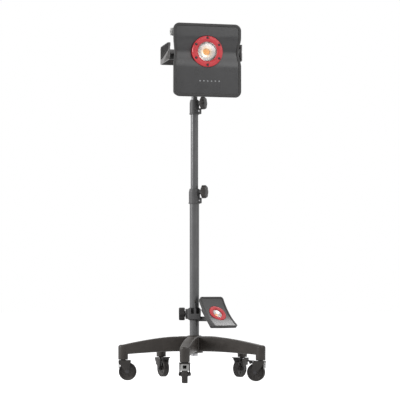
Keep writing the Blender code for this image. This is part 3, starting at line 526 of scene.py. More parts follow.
def coated(name, colour, roughness, metallic=0.0, grain=(1400.0, 0.12), clouds=0.12, spread=0.05,
           wear=(0.0, 0.001), wear_colour=(0.30, 0.29, 0.28), dust=0.0, streaks=None, coat=0.0):
    """A plastic, rubber or painted finish: cloudy colour, grain, rubbed edges and dust."""
    material, tree, shader = shader_of(name)
    texture = placed_group(tree, "moulded_grain", Scale=grain[0])
    shade = texture["Clouds"]
    height = texture["Height"]
    if streaks:
        height = noise(tree, grain[0], 2.0, streaks)
        shade = sums(tree, "MULTIPLY", ranged(tree, height, 0.3, 0.7, 0.6, 1.0), shade)
    low = [c * (1 - clouds) for c in colour]
    high = [min(1, c * (1 + clouds)) for c in colour]
    result = mixed(tree, shade, (*low, 1), (*high, 1))
    rough = ranged(tree, shade, 0.0, 1.0, roughness - spread, roughness + spread)
    if wear[0]:
        mask = placed_group(tree, "rubbed_edges", Amount=wear[0], Radius=wear[1])["Mask"]
        result = mixed(tree, mask, result, (*wear_colour, 1))
    if dust:
        mask = placed_group(tree, "settled_dust", Amount=dust)["Mask"]
        result = mixed(tree, mask, result, DUST_COLOUR)
        rough = sums(tree, "ADD", rough, sums(tree, "MULTIPLY", mask, DUST_ROUGHNESS))
    bump = tree.nodes.new("ShaderNodeBump")
    bump.inputs["Strength"].default_value = grain[1]
    bump.inputs["Distance"].default_value = BUMP_DISTANCE
    tree.links.new(height, bump.inputs["Height"])
    tree.links.new(result, shader.inputs["Base Color"])
    tree.links.new(rough, shader.inputs["Roughness"])
    tree.links.new(bump.outputs["Normal"], shader.inputs["Normal"])
    shader.inputs["Metallic"].default_value = metallic
    shader.inputs["Specular IOR Level"].default_value = SPECULAR
    shader.inputs["Coat Weight"].default_value = coat
    shader.inputs["Coat Roughness"].default_value = COAT_ROUGHNESS
    return material


def make_reflector_finish():
    """Bright metal with a fine hammered surface, and a painted pool of warm light round the light
    source.
    """
    material, tree, shader = shader_of("reflector")
    cells = tree.nodes.new("ShaderNodeTexVoronoi")
    cells.feature = "SMOOTH_F1"
    cells.inputs["Scale"].default_value = 420.0
    tree.links.new(tree.nodes.new("ShaderNodeTexCoord").outputs["Object"], cells.inputs["Vector"])
    bump = tree.nodes.new("ShaderNodeBump")
    bump.inputs["Strength"].default_value = 0.5
    bump.inputs["Distance"].default_value = 0.0006
    tree.links.new(cells.outputs["Distance"], bump.inputs["Height"])
    tree.links.new(bump.outputs["Normal"], shader.inputs["Normal"])
    haze = ranged(tree, noise(tree, 60.0, 3.0), 0.3, 0.7, 0.10, 0.20)
    tree.links.new(haze, shader.inputs["Roughness"])
    # Painted light: the bowl turns warm near the light source, as if lit by it.
    centre = YOKE_PLACE @ Vector((0, -0.22, RING_Z))
    away = tree.nodes.new("ShaderNodeVectorMath")
    away.operation = "DISTANCE"
    tree.links.new(tree.nodes.new("ShaderNodeTexCoord").outputs["Object"], away.inputs[0])
    away.inputs[1].default_value = centre
    painted_warm_light = ranged(tree, away.outputs["Value"], 0.012, 0.028, 0.0, 1.0)
    result = mixed(tree, painted_warm_light, (0.80, 0.58, 0.38, 1), (0.58, 0.55, 0.535, 1))
    tree.links.new(result, shader.inputs["Base Color"])
    shader.inputs["Metallic"].default_value = 1.0
    return material


def make_lens_finish():
    """Clear plate with faint smears."""
    material, tree, shader = shader_of("lens_clear")
    shader.inputs["Base Color"].default_value = (1, 1, 1, 1)
    shader.inputs["Transmission Weight"].default_value = 1.0
    shader.inputs["IOR"].default_value = 1.45
    smears = ranged(tree, noise(tree, 35.0, 4.0), 0.35, 0.75, 0.01, 0.07)
    tree.links.new(smears, shader.inputs["Roughness"])
    return material


def make_phosphor_finish(colour):
    """Yellow layer with a grid of chips just showing through, and a faint painted glow."""
    material, tree, shader = shader_of("led_yellow")
    chips = tree.nodes.new("ShaderNodeTexVoronoi")
    chips.inputs["Scale"].default_value = 380.0
    chips.inputs["Randomness"].default_value = 0.0
    tree.links.new(tree.nodes.new("ShaderNodeTexCoord").outputs["Object"], chips.inputs["Vector"])
    shade = ranged(tree, chips.outputs["Distance"], 0.1, 0.7)
    result = mixed(tree, shade, (min(1, colour[0] * 1.1), colour[1] * 1.35, colour[2] * 1.6, 1),
                   (*colour, 1))
    tree.links.new(result, shader.inputs["Base Color"])
    # Painted glow: a faint emission makes the yellow layer brighter than the light falling on it.
    tree.links.new(result, shader.inputs["Emission Color"])
    shader.inputs["Emission Strength"].default_value = 0.2
    tree.links.new(ranged(tree, noise(tree, 300.0), 0.3, 0.7, 0.45, 0.6),
                   shader.inputs["Roughness"])
    return material


def make_finishes():
    """Every finish of the stand, by the record's slot or its own name."""
    c = bpy.context.scene.stand_colours
    coated("base_black", c.base, 0.40, grain=(900.0, 0.10), wear=(0.35, 0.0015), dust=0.22)
    coated("tube_grey", c.tube, 0.34, metallic=0.35, grain=(500.0, 0.03), streaks=(1, 1, 0.02),
           wear=(0.3, 0.001), dust=0.05, coat=0.25)
    coated("collar_grey", c.collar, 0.48, grain=(1600.0, 0.22), wear=(0.3, 0.001), dust=0.08)
    coated("knob_black", c.knob, 0.46, grain=(1800.0, 0.25), wear=(0.25, 0.001), dust=0.14)
    coated("rubber_black", (0.022, 0.021, 0.021), 0.72, grain=(1200.0, 0.35), clouds=0.2, dust=0.12)
    coated("wheel_black", (0.028, 0.025, 0.024), 0.62, grain=(700.0, 0.3), clouds=0.25,
           wear=(0.5, 0.002), wear_colour=(0.20, 0.19, 0.175), dust=0.3)
    coated("wheel_core", (0.045, 0.040, 0.038), 0.45, grain=(1500.0, 0.15), wear=(0.3, 0.001),
           dust=0.15)
    coated("steel", (0.42, 0.42, 0.43), 0.30, metallic=1.0, grain=(900.0, 0.05), clouds=0.18,
           spread=0.09, wear=(0.3, 0.0006), wear_colour=(0.6, 0.6, 0.6))
    coated("dark_screw", (0.05, 0.048, 0.050), 0.35, metallic=0.7, grain=(1500.0, 0.08),
           wear=(0.4, 0.0004))
    coated("lamp_shell", c.shell, 0.50, grain=(1900.0, 0.28), wear=(0.25, 0.001), dust=0.08)
    coated("lamp_face", c.face, 0.30, grain=(2200.0, 0.06), clouds=0.06, dust=0.03, coat=0.15)
    coated("boss_grey", (0.42, 0.42, 0.41), 0.42, grain=(1600.0, 0.15), clouds=0.06, dust=0.05)
    coated("lamp_red", c.red, 0.33, grain=(2000.0, 0.08), clouds=0.08, wear=(0.2, 0.0006),
           wear_colour=(0.75, 0.25, 0.25), coat=0.25)
    coated("fin_metal", (0.075, 0.075, 0.078), 0.36, metallic=0.6, grain=(1200.0, 0.05),
           wear=(0.4, 0.0008), wear_colour=(0.45, 0.45, 0.45), dust=0.12)
    coated("pad_face", (0.085, 0.083, 0.083), 0.36, grain=(2200.0, 0.05), clouds=0.05, dust=0.04,
           coat=0.3)
    coated("strap_grey", (0.16, 0.155, 0.155), 0.42, metallic=0.3, grain=(1300.0, 0.10),
           clouds=0.18, wear=(0.5, 0.0012), wear_colour=(0.45, 0.44, 0.43), dust=0.12)
    coated("mark_grey", (0.42, 0.43, 0.44), 0.45, grain=(1500.0, 0.05), clouds=0.05)
    coated("board_white", (0.62, 0.62, 0.60), 0.5, grain=(900.0, 0.05))
    make_reflector_finish()
    make_lens_finish()
    make_phosphor_finish(c.phosphor)


def finish(name):
    return bpy.data.materials[name + "_finish"]


class MakeFinishes(bpy.types.Operator):
    """Makes the shader groups and every finish of the stand"""
    bl_idname = "light_stand.make_finishes"
    bl_label = "Finishes"

    def execute(self, context):
        make_grain_group()
        make_wear_group()
        make_dust_group()
        make_finishes()
        return {"FINISHED"}


# Star base

def leg_place(name):
    """A leg's own place: +X from the pole to the leg's tip."""
    tip = joint_place(name + "_swivel_turn") - POLE
    return Matrix.Translation(POLE) @ Matrix.Rotation(math.atan2(tip.y, tip.x), 4, "Z")


def leg_edge(start, drop, r):
    """Height of a leg's upper or lower edge at radius r."""
    return start - drop * max(0, r - LEG_LEVEL_TO) ** 1.5


def leg_shape():
    """An arched beam with a caster sleeve at its tip and a recess underneath."""
    half, steps = LEG_WIDTH / 2, 26
    radii = [HUB_RADIUS - 0.004, 0.055] + [LEG_LEVEL_TO + (
        STEM_RING_RADIUS - LEG_LEVEL_TO) * i / steps for i in range(steps + 1)]
    sections = []
    for r in radii:
        low, high = leg_edge(LEG_BOTTOM_AT_HUB, LEG_BOTTOM_DROP,
                             r), leg_edge(LEG_TOP_AT_HUB, LEG_TOP_DROP, r)
        outline = eased([(half, low), (half, high), (-half, high), (-half, low)], 0.0055, 5)
        sections.append([(r, y, z) for y, z in outline])
    leg = lofted_shape(sections)
    recess, wide = [], half - LEG_WALL
    for r in (RECESS_FROM + RECESS_LENGTH * i / steps for i in range(steps + 1)):
        low = leg_edge(LEG_BOTTOM_AT_HUB, LEG_BOTTOM_DROP, r)
        below, above = low - 0.006, low + RECESS_DEPTH
        recess.append([(r, wide, below), (r, wide, above), (r, -wide, above), (r, -wide, below)])
    cut_away(leg, lofted_shape(recess))
    top = leg_edge(LEG_TOP_AT_HUB, LEG_TOP_DROP, STEM_RING_RADIUS)
    crown = [(SLEEVE_RADIUS - SLEEVE_CROWN * (1 - math.cos(t)),
              top - SLEEVE_CROWN * (1 - math.sin(t)))
             for t in (math.pi / 2 * i / 8 for i in range(9))]
    sleeve = turned_shape([(0, SLEEVE_BOTTOM), (SLEEVE_RADIUS - 0.001, SLEEVE_BOTTOM),
                           (SLEEVE_RADIUS, SLEEVE_BOTTOM + 0.001)]
                          + crown + [(0, top)])
    fused(leg, moved(sleeve, at(STEM_RING_RADIUS, 0, 0)))
    underside = turned_shape([(0.0125, 0.080), (0.0180, 0.080), (0.0175, 0.0900), (0.0130, 0.0900)])
    bore = rod_shape(0.0058, 0.080, 0.118, steps=32)
    cut_away(leg, moved(underside, at(STEM_RING_RADIUS, 0, 0)),
             moved(bore, at(STEM_RING_RADIUS, 0, 0)))
    return cut_away(leg, rod_shape(HUB_RADIUS + 0.0004, 0.090, 0.200))


class MakeBase(bpy.types.Operator):
    """Builds the hub, its bolt and the five arched legs"""
    bl_idname = "light_stand.make_base"
    bl_label = "Star base"

    def execute(self, context):
        bore = 0.0203
        hub = turned_shape(eased([
            (bore, 0.1225), (bore, 0.1840), (0.0285, 0.1840), (0.0300, 0.1815),
            (HUB_RADIUS, 0.1780),
            (HUB_RADIUS, 0.1120), (0.0180, 0.1120), (0.0165, 0.1135), (0.0070, 0.1135),
            (0.0070, 0.1225),
        ], 0.0009))
        finished(moved(hub, at(*POLE)), "hub_finished", "base", "base_black", ["hub"])
        bolt = joined(
            hex_shape(0.0145, 0.0975, 0.1095), rod_shape(0.0160, 0.1097, 0.1117, chamfer=0.0003),
            rod_shape(0.0065, 0.1090, 0.1360),
        )
        finished(moved(bolt, at(*POLE)), "pole_bolt_finished", "base", "steel", ["pole_bolt"])
        pattern = leg_shape()
        for name in CASTERS:
            leg = moved(copy_of(pattern), leg_place(name))
            finished(leg, "leg_" + name + "_finished", "base", "base_black", ["leg_" + name])
        bpy.data.objects.remove(pattern)
        return {"FINISHED"}


# Casters

TRAIL, AXLE_Z = 0.019, joint_place("front_wheel_spin").z
FORK_HALF, CHEEK = 0.017, 0.005
PEDAL_PIN = (0.027, 0.0805)


def caster_place(name):
    """A caster's own place: +X the way its wheel trails, the floor at 0."""
    pivot = joint_place(name + "_swivel_turn")
    trail = joint_place(name + "_wheel_spin") - pivot
    return at(pivot.x, pivot.y, 0) @ Matrix.Rotation(math.atan2(trail.y, trail.x), 4, "Z")


def fork_shape():
    """Two cheeks and a crown between them, open where the brake passes."""
    outline = [(-0.0185, 0.0835), (-0.0185, 0.0730)] + arc(
        (TRAIL, AXLE_Z), 0.0085, 195, 350, 20) + [
        (0.0315, 0.0770), (0.0315, 0.0820), (0.0295, 0.0835),
    ]
    parts = []
    for side in (-1, 1):
        low, high = sorted((side * FORK_HALF, side * (FORK_HALF + CHEEK)))
        parts.append(rounded(plate_shape(outline, low, high, "Y"), 0.0014, 3, 50))
    crown = box_shape((0.0378, 2 * FORK_HALF + 0.004, 0.0064), (0.0005, 0, 0.08015), 0.0014, 3)
    parts.append(cut_away(crown, rod_shape(0.0063, 0.070, 0.090, steps=32)))
    return joined(*parts)


def hood_shape():
    """Plate with a window, across the fork's front. Its light grey is partly the plate's own grey
    and partly a painted highlight from the light above.
    """
    wide, low, high = 2 * FORK_HALF + 0.001, 0.0515, 0.0775
    plate = box_shape((0.0030, wide, high - low), (-0.0168, 0, (low + high) / 2), 0.0009, 3)
    return cut_away(plate, box_shape((0.010, 0.0150, 0.0135), (-0.0168, 0, 0.0665), 0.0015, 3))


def pedal_shape():
    """Brake pedal: toe plate, and a shoe over the tread."""
    reach = 0.0407
    shoe = [(TRAIL + reach * math.sin(t), AXLE_Z + reach * math.cos(t))
            for t in (math.radians(a) for a in (24, 28, 32, 36))]
    outline = [(0.0225, 0.0835), (0.0225, 0.0790)] + shoe + [
        (0.0465, 0.0800), (0.0550, 0.0815), (0.0555, 0.0855), (0.0440, 0.0850), (0.0330, 0.0850),
    ]
    half = FORK_HALF - 0.001
    pedal = rounded(plate_shape(outline, -half, half, "Y"), 0.0008)
    ribs = [box_shape((0.0012, 2 * half - 0.005, 0.0012), (x, 0, z), 0.0004)
            for x, z in ((0.0465, 0.0853), (0.0490, 0.0854), (0.0515, 0.0855), (0.0540, 0.0856))]
    return joined(pedal, *ribs)


def tread_shape():
    """Tyre with rounded shoulders and two fine grooves, about Y."""
    deep = bpy.context.scene.stand_sizes.tread_groove
    flat = [(WHEEL_RADIUS - 0.0001, 0.0070), (WHEEL_RADIUS, 0.0050), (WHEEL_RADIUS, 0.0044),
            (WHEEL_RADIUS - deep, 0.0040),
            (WHEEL_RADIUS - deep, 0.0032), (WHEEL_RADIUS, 0.0028)]
    side = [(0.0300, 0.0085), (0.0312, 0.0098), (0.0335, WHEEL_HALF - 0.0003), (0.0345, WHEEL_HALF),
            (0.0355, WHEEL_HALF - 0.0006), (0.0367, 0.0098)] + flat
    return turned_shape(side + [(r, -h) for r, h in reversed(side)], "Y")


def core_shape():
    """Wheel centre with a wide hub and five round recesses on each side."""
    side = [(0.0043, 0.0162), (0.0047, 0.0166), (0.0090, 0.0166), (0.0096, 0.0160),
            (0.0103, 0.0075), (0.0112, 0.0066),
            (0.0255, 0.0058), (0.0268, 0.0066), (0.0285, 0.0080), (0.0302, 0.0084)]
    core = turned_shape(side + [(r, -h) for r, h in reversed(side)], "Y")
    for turn in range(5):
        angle = 2 * math.pi * turn / 5
        for side in (-1, 1):
            low, high = sorted((side * 0.0040, side * 0.0100))
            dent = rod_shape(0.0048, low, high, "Y", steps=28)
            cut_away(core, moved(dent, at(0.0182 * math.cos(angle), 0, 0.0182 * math.sin(angle))))
    return core


def axle_shape():
    half = FORK_HALF + CHEEK
    return joined(
        rod_shape(0.004, -half - 0.001, half + 0.001, "Y"),
        hex_shape(0.0068, half + 0.0009, half + 0.003, "Y"),
        hex_shape(0.0068, -half - 0.003, -half - 0.0009, "Y"),
        rod_shape(0.0078, half + 0.0002, half + 0.0010, "Y", 0.0002),
        rod_shape(0.0078, -half - 0.0010, -half - 0.0002, "Y", 0.0002),
    )


def stem_shape():
    return turned_shape([
        (0, 0.0778), (0.0055, 0.0778), (0.0058, 0.0781), (0.0058, 0.0838), (0.0105, 0.0838),
        (0.0110, 0.0842),
        (0.0110, 0.0853), (0.0105, 0.0857), (0.0055, 0.0857), (0.0055, 0.1155), (0.0050, 0.1160),
        (0, 0.1160),
    ])


class MakeCasters(bpy.types.Operator):
    """Builds the five casters, four of them with a brake pedal"""
    bl_idname = "light_stand.make_casters"
    bl_label = "Casters"

    def execute(self, context):
        half = FORK_HALF + CHEEK
        pin = rod_shape(0.002, -half - 0.002, half + 0.002, "Y", steps=24)
        patterns = {
            "stem": (stem_shape(), 0, "base", "steel", "dark_screw"),
            "fork": (fork_shape(), 0, "{}_swivel", "knob_black", None),
            # The hood's light grey finish is partly a painted highlight from the light above.
            "hood": (hood_shape(), 0, "{}_swivel", "knob_black", "boss_grey"),
            "axle": (axle_shape(), 1, "{}_swivel", "steel", "dark_screw"),
            "wheel": (tread_shape(), 1, "{}_wheel", "wheel_black", None),
            "wheel_core": (core_shape(), 1, "{}_wheel", "wheel_black", "wheel_core"),
            "brake": (pedal_shape(), 0, "{}_brake", "rubber_black", None),
            "brake_pin": (moved(pin, at(PEDAL_PIN[0], 0, PEDAL_PIN[1])), 0, "{}_brake", "steel",
                          None),
        }
        for name in CASTERS:
            for part, (pattern, on_axle, body, slot, material) in patterns.items():
                if part.startswith("brake") and name == "left":
                    continue
                place = caster_place(name) @ (
                    at(TRAIL, 0, AXLE_Z) if on_axle else Matrix.Identity(4))
                node = f"caster_{name}_{part}"
                stands_for = [node] if node in frame["nodes"] else []
                finished(moved(copy_of(pattern), place), node + "_finished", body.format(name),
                         slot, stands_for, material)
        for pattern, *_ in patterns.values():
            bpy.data.objects.remove(pattern)
        return {"FINISHED"}


# Mast: outer radius, inner radius, lower end, upper end

LOWER_TUBE = (0.0200, 0.0180, 0.122, 0.772)
MIDDLE_TUBE = (0.0160, 0.0142, 0.480, 1.150)
TOP_TUBE = (0.0125, 0.0110, 0.720, 1.378)
KNOB_THICK = 0.020

# Collars: low, high, radius, reach of the ears, the knob's height and its distance
MIDDLE_COLLAR = (0.736, 0.799, 0.0235, 0.0305, 0.786, 0.0440)
UPPER_COLLAR = (1.113, 1.175, 0.0203, 0.0290, 1.160, 0.0395)

# Knobs: radius, thickness, reach of the screw
MIDDLE_KNOB = (0.0280, KNOB_THICK, 0.0274)
UPPER_KNOB = (0.0270, KNOB_THICK, 0.0264)
SOCKET_KNOB = (0.019, 0.012, 0.0229)
CLAMP_KNOB = (0.027, 0.025, 0.0294)


def tube_shape(tube):
    outer, inner, low, high = tube
    ease = 0.0005
    return turned_shape([
        (outer, low + ease), (outer, high - ease), (outer - ease, high), (inner + ease, high),
        (inner, high - ease),
        (inner, low + ease), (inner + ease, low), (outer - ease, low),
    ], steps=FINE_STEPS)


def knob_place(joint):
    """A knob's own place: +X out of its face."""
    axis = joint_axis(joint)
    return Matrix.Translation(joint_place(joint)) @ Matrix.Rotation(
        math.atan2(axis.y, axis.x), 4, "Z")


def knob_shape(radius, thick, reach, lobes, depth):
    """A lobed hand knob with a domed edge, a cap in its face and its screw."""
    half, steps = thick / 2, 14
    rounds = [
        (radius * 0.62, -half), (0.0040, -half), (0.0016, -half + 0.0007), (0.0004, -half + 0.0019),
        (0, -half + 0.0035),
        (0, half - 0.0048), (0.0004, half - 0.0030), (0.0015, half - 0.0014),
        (0.0032, half - 0.0003), (0.0052, half),
        (radius * 0.48, half), (radius * 0.50, half - 0.0009),
    ]
    sections = []
    for inset, x in rounds:
        ring = []
        for i in range(lobes * steps):
            turn = 2 * math.pi * i / (lobes * steps)
            soft = max(0, 1 - inset / (radius * 0.5))
            r = radius - inset - depth * soft * (0.5 - 0.5 * math.cos(lobes * turn)) ** 2
            ring.append((x, r * math.cos(turn), r * math.sin(turn)))
        sections.append(ring)
    cap = turned_shape([
        (0, half - 0.0015), (radius * 0.44, half - 0.0015), (radius * 0.44, half - 0.0004),
        (radius * 0.41, half),
        (radius * 0.20, half + 0.0003), (0, half + 0.0004),
    ], "X")
    back = rod_shape(radius * 0.45, -half - 0.002, -half + 0.001, "X")
    screw = rod_shape(0.004, -reach, -half - 0.001, "X", steps=32)
    return joined(lofted_shape(sections), cap, back, screw)


def make_knob(node, joint, body, radius, thick, reach, material=None):
    sizes = bpy.context.scene.stand_sizes
    knob = knob_shape(radius, thick, reach, sizes.knob_lobes, radius * 0.125)
    finished(moved(knob, knob_place(joint)), node + "_finished", body, "knob_black", [node],
             material)


def make_collar(node, collar, outer_tube, inner_tube, body):
    """A clamp on the outer tube's mouth, with split ears, a bolt across them
    and a boss for the knob's screw."""
    low, high, radius, ear_reach, knob_z, knob_far = collar
    seat, outer, inner = outer_tube[3] + GAP, outer_tube[0] + 0.0007, inner_tube[0] + 0.0007
    collar = turned_shape(eased([
        (outer, low), (radius + 0.001, low), (radius + 0.001, low + 0.005), (radius, low + 0.007),
        (radius, high - 0.014), (radius - 0.003, high), (inner, high), (inner, seat), (outer, seat),
    ], 0.0008))
    ear_z, ear_start = low + 0.0135, outer + 0.0008
    ear = box_shape((ear_reach - ear_start, 0.018, 0.024), ((ear_reach + ear_start) / 2, 0, ear_z),
                    0.003, 4)
    boss_end = knob_far - KNOB_THICK / 2 - 0.0025
    boss = moved(rod_shape(0.010, inner + 0.0005, boss_end, "X", 0.0010), at(0, 0, knob_z))
    fused(collar, ear, boss)
    slot = box_shape((0.030, 0.002, 0.040), (outer + 0.0145, 0, ear_z), 0.0002, 1)
    sink = moved(rod_shape(0.0048, 0.0076, 0.012, "Y", steps=32), at(ear_reach - 0.0058, 0, ear_z))
    sink_behind = moved(rod_shape(0.0048, -0.012, -0.0076, "Y", steps=32),
                        at(ear_reach - 0.0058, 0, ear_z))
    cut_away(collar, slot, sink, sink_behind)
    place = Matrix.Translation(POLE) @ Matrix.Rotation(KNOB_TURN, 4, "Z")
    finished(moved(collar, place), node + "_finished", body, "collar_grey", [node])
    bolt = joined(
        cut_away(rod_shape(0.0038, 0.0066, 0.0100, "Y", 0.0004),
                 rod_shape(0.0020, 0.0088, 0.0120, "Y", 0.0001, 6)),
        hex_shape(0.0040, -0.0096, -0.0066, "Y"), rod_shape(0.0020, -0.0070, 0.0070, "Y", steps=24),
    )
    finished(moved(bolt, place @ at(ear_reach - 0.0058, 0, ear_z)), node + "_bolt", body, "steel")


class MakeMast(bpy.types.Operator):
    """Builds the three tubes, the two collars and their knobs"""
    bl_idname = "light_stand.make_mast"
    bl_label = "Mast"

    def execute(self, context):
        for node, tube, body in (("lower_tube", LOWER_TUBE, "base"),
                                 ("middle_tube", MIDDLE_TUBE, "middle_mast"),
                                 ("top_tube", TOP_TUBE, "top_mast")):
            finished(moved(tube_shape(tube), at(*POLE)), node + "_finished", body, "tube_grey",
                     [node])
        for node, tube, outer_tube, body in (
            ("middle_guide_plug", MIDDLE_TUBE, LOWER_TUBE, "middle_mast"),
                                             ("top_guide_plug", TOP_TUBE, MIDDLE_TUBE, "top_mast")):
            low, flange, spigot, bore = tube[2], outer_tube[1] - GAP, tube[1] - GAP, tube[1] - 0.004
            plug = turned_shape(eased([
                (flange, low - 0.016), (flange, low - GAP), (spigot, low - GAP),
                (spigot, low + 0.018),
                (bore, low + 0.018), (bore, low - 0.016),
            ], 0.0008))
            finished(moved(plug, at(*POLE)), node + "_finished", body, "rubber_black", [node])
        make_collar("middle_collar", MIDDLE_COLLAR, LOWER_TUBE, MIDDLE_TUBE, "base")
        make_collar("upper_collar", UPPER_COLLAR, MIDDLE_TUBE, TOP_TUBE, "middle_mast")
        make_knob("middle_collar_knob", "middle_knob_turn", "middle_knob", *MIDDLE_KNOB)
        make_knob("upper_collar_knob", "upper_knob_turn", "upper_knob", *UPPER_KNOB)
        return {"FINISHED"}


# Square lamp

def valley(z):
    """1 at the ring's height, falling to 0 at the valley's edges."""
    away = (z - RING_Z) / VALLEY_HALF
    return 0.5 + 0.5 * math.cos(math.pi * away) if abs(away) < 1 else 0.0


def lamp_outline(inset):
    """The lamp's front outline, (x, z), drawn in by inset, with a waist at the valley."""
    half, steps = LAMP_HALF_WIDTH - inset, 28
    corners = rounded_rectangle(half, LAMP_HALF_HEIGHT - inset, max(LAMP_CORNER - inset, 0.006), 9)
    corners = [(x, z + LAMP_Z) for x, z in corners]
    heights = [RING_Z + VALLEY_HALF * (2 * i / steps - 1) for i in range(1, steps)]
    side = [(half - WAIST * valley(z), z) for z in heights]
    right_top, left_top, left_foot, right_foot = (corners[i * 10:(i + 1) * 10] for i in range(4))
    return side + right_top + left_top + [(-x, z) for x,
                                          z in reversed(side)] + left_foot + right_foot


def lamp_section(inset, y, follows=0.0):
    """One outline of a lamp loft. follows is how far it sinks with the valley,
    and its sides then keep to the bezel's taper."""
    result = []
    for x, z in lamp_outline(inset):
        sunk = y + follows * VALLEY_DEPTH * valley(z)
        taper = BEZEL_TAPER * max(0, sunk - FACE_Y - TAPER_START) / (
            BEZEL_BACK_Y - FACE_Y - TAPER_START) if follows else 0
        result.append((math.copysign(abs(x) - taper, x), sunk, z))
    return result


def bezel_shape():
    return lofted_shape([
        lamp_section(0.0054, FACE_Y, 1), lamp_section(0.0036, FACE_Y + 0.0004, 1),
        lamp_section(0.0020, FACE_Y + 0.0013, 1),
        lamp_section(0.0008, FACE_Y + 0.0027, 1), lamp_section(0, FACE_Y + 0.0052, 1),
        lamp_section(0.0104, BEZEL_BACK_Y - 0.0010), lamp_section(0.0116, BEZEL_BACK_Y),
        lamp_section(LEDGE, BEZEL_BACK_Y), lamp_section(LEDGE, LEDGE_Y), lamp_section(RIM, LEDGE_Y),
        lamp_section(RIM, FACE_Y + 0.0020, 1), lamp_section(0.0113, FACE_Y + 0.0006, 1),
        lamp_section(0.0098, FACE_Y, 1),
    ], closed=True)


def divided(outline, longest):
    """The same outline with points added on its long sides."""
    result = []
    for start, end in zip(outline, outline[1:] + outline[:1]):
        parts = max(1, math.ceil(math.dist(start, end) / longest))
        result += [tuple(a + (b - a) * i / parts for a, b in zip(start, end)) for i in range(parts)]
    return result


def face_shape():
    """The sunken face: from the rim's inner edge in to the ring, with the valley between."""
    outline = divided(lamp_outline(RIM + GAP), 0.006)
    hole = RING_RADIUS + 0.0016
    steps = 22

    def ring_at(t, back):
        section = []
        for x, z in outline:
            out = Vector((x, z - RING_Z))
            place = out.lerp(out.normalized() * hole, t)
            height = place.y + RING_Z
            section.append((place.x, FACE_Y + RIM_PROUD + VALLEY_DEPTH * valley(height) + back,
                            height))
        return section

    front = [ring_at(i / steps, 0) for i in range(steps + 1)]
    behind = [ring_at(i / steps, 0.0035) for i in range(steps, -1, -1)]
    return lofted_shape(front + behind, closed=True)


def screw_shape(radius, height, drive=True):
    """A pan-head screw that stands on z = 0, with a hexagon socket."""
    head = turned_shape([
        (0, -0.0010), (radius, -0.0010), (radius, height * 0.45), (radius * 0.93, height * 0.80),
        (radius * 0.75, height), (0, height),
    ], steps=40)
    return cut_away(head, rod_shape(radius * 0.45, height * 0.25, height + 0.002, chamfer=0.0001,
                                    steps=6)) if drive else head


def facing(axis, sign=1):
    """Turns a piece that stands on z = 0 so that it points along the axis."""
    turned = along(axis)
    return turned if sign > 0 else turned @ Matrix.Rotation(math.pi, 4, "X")


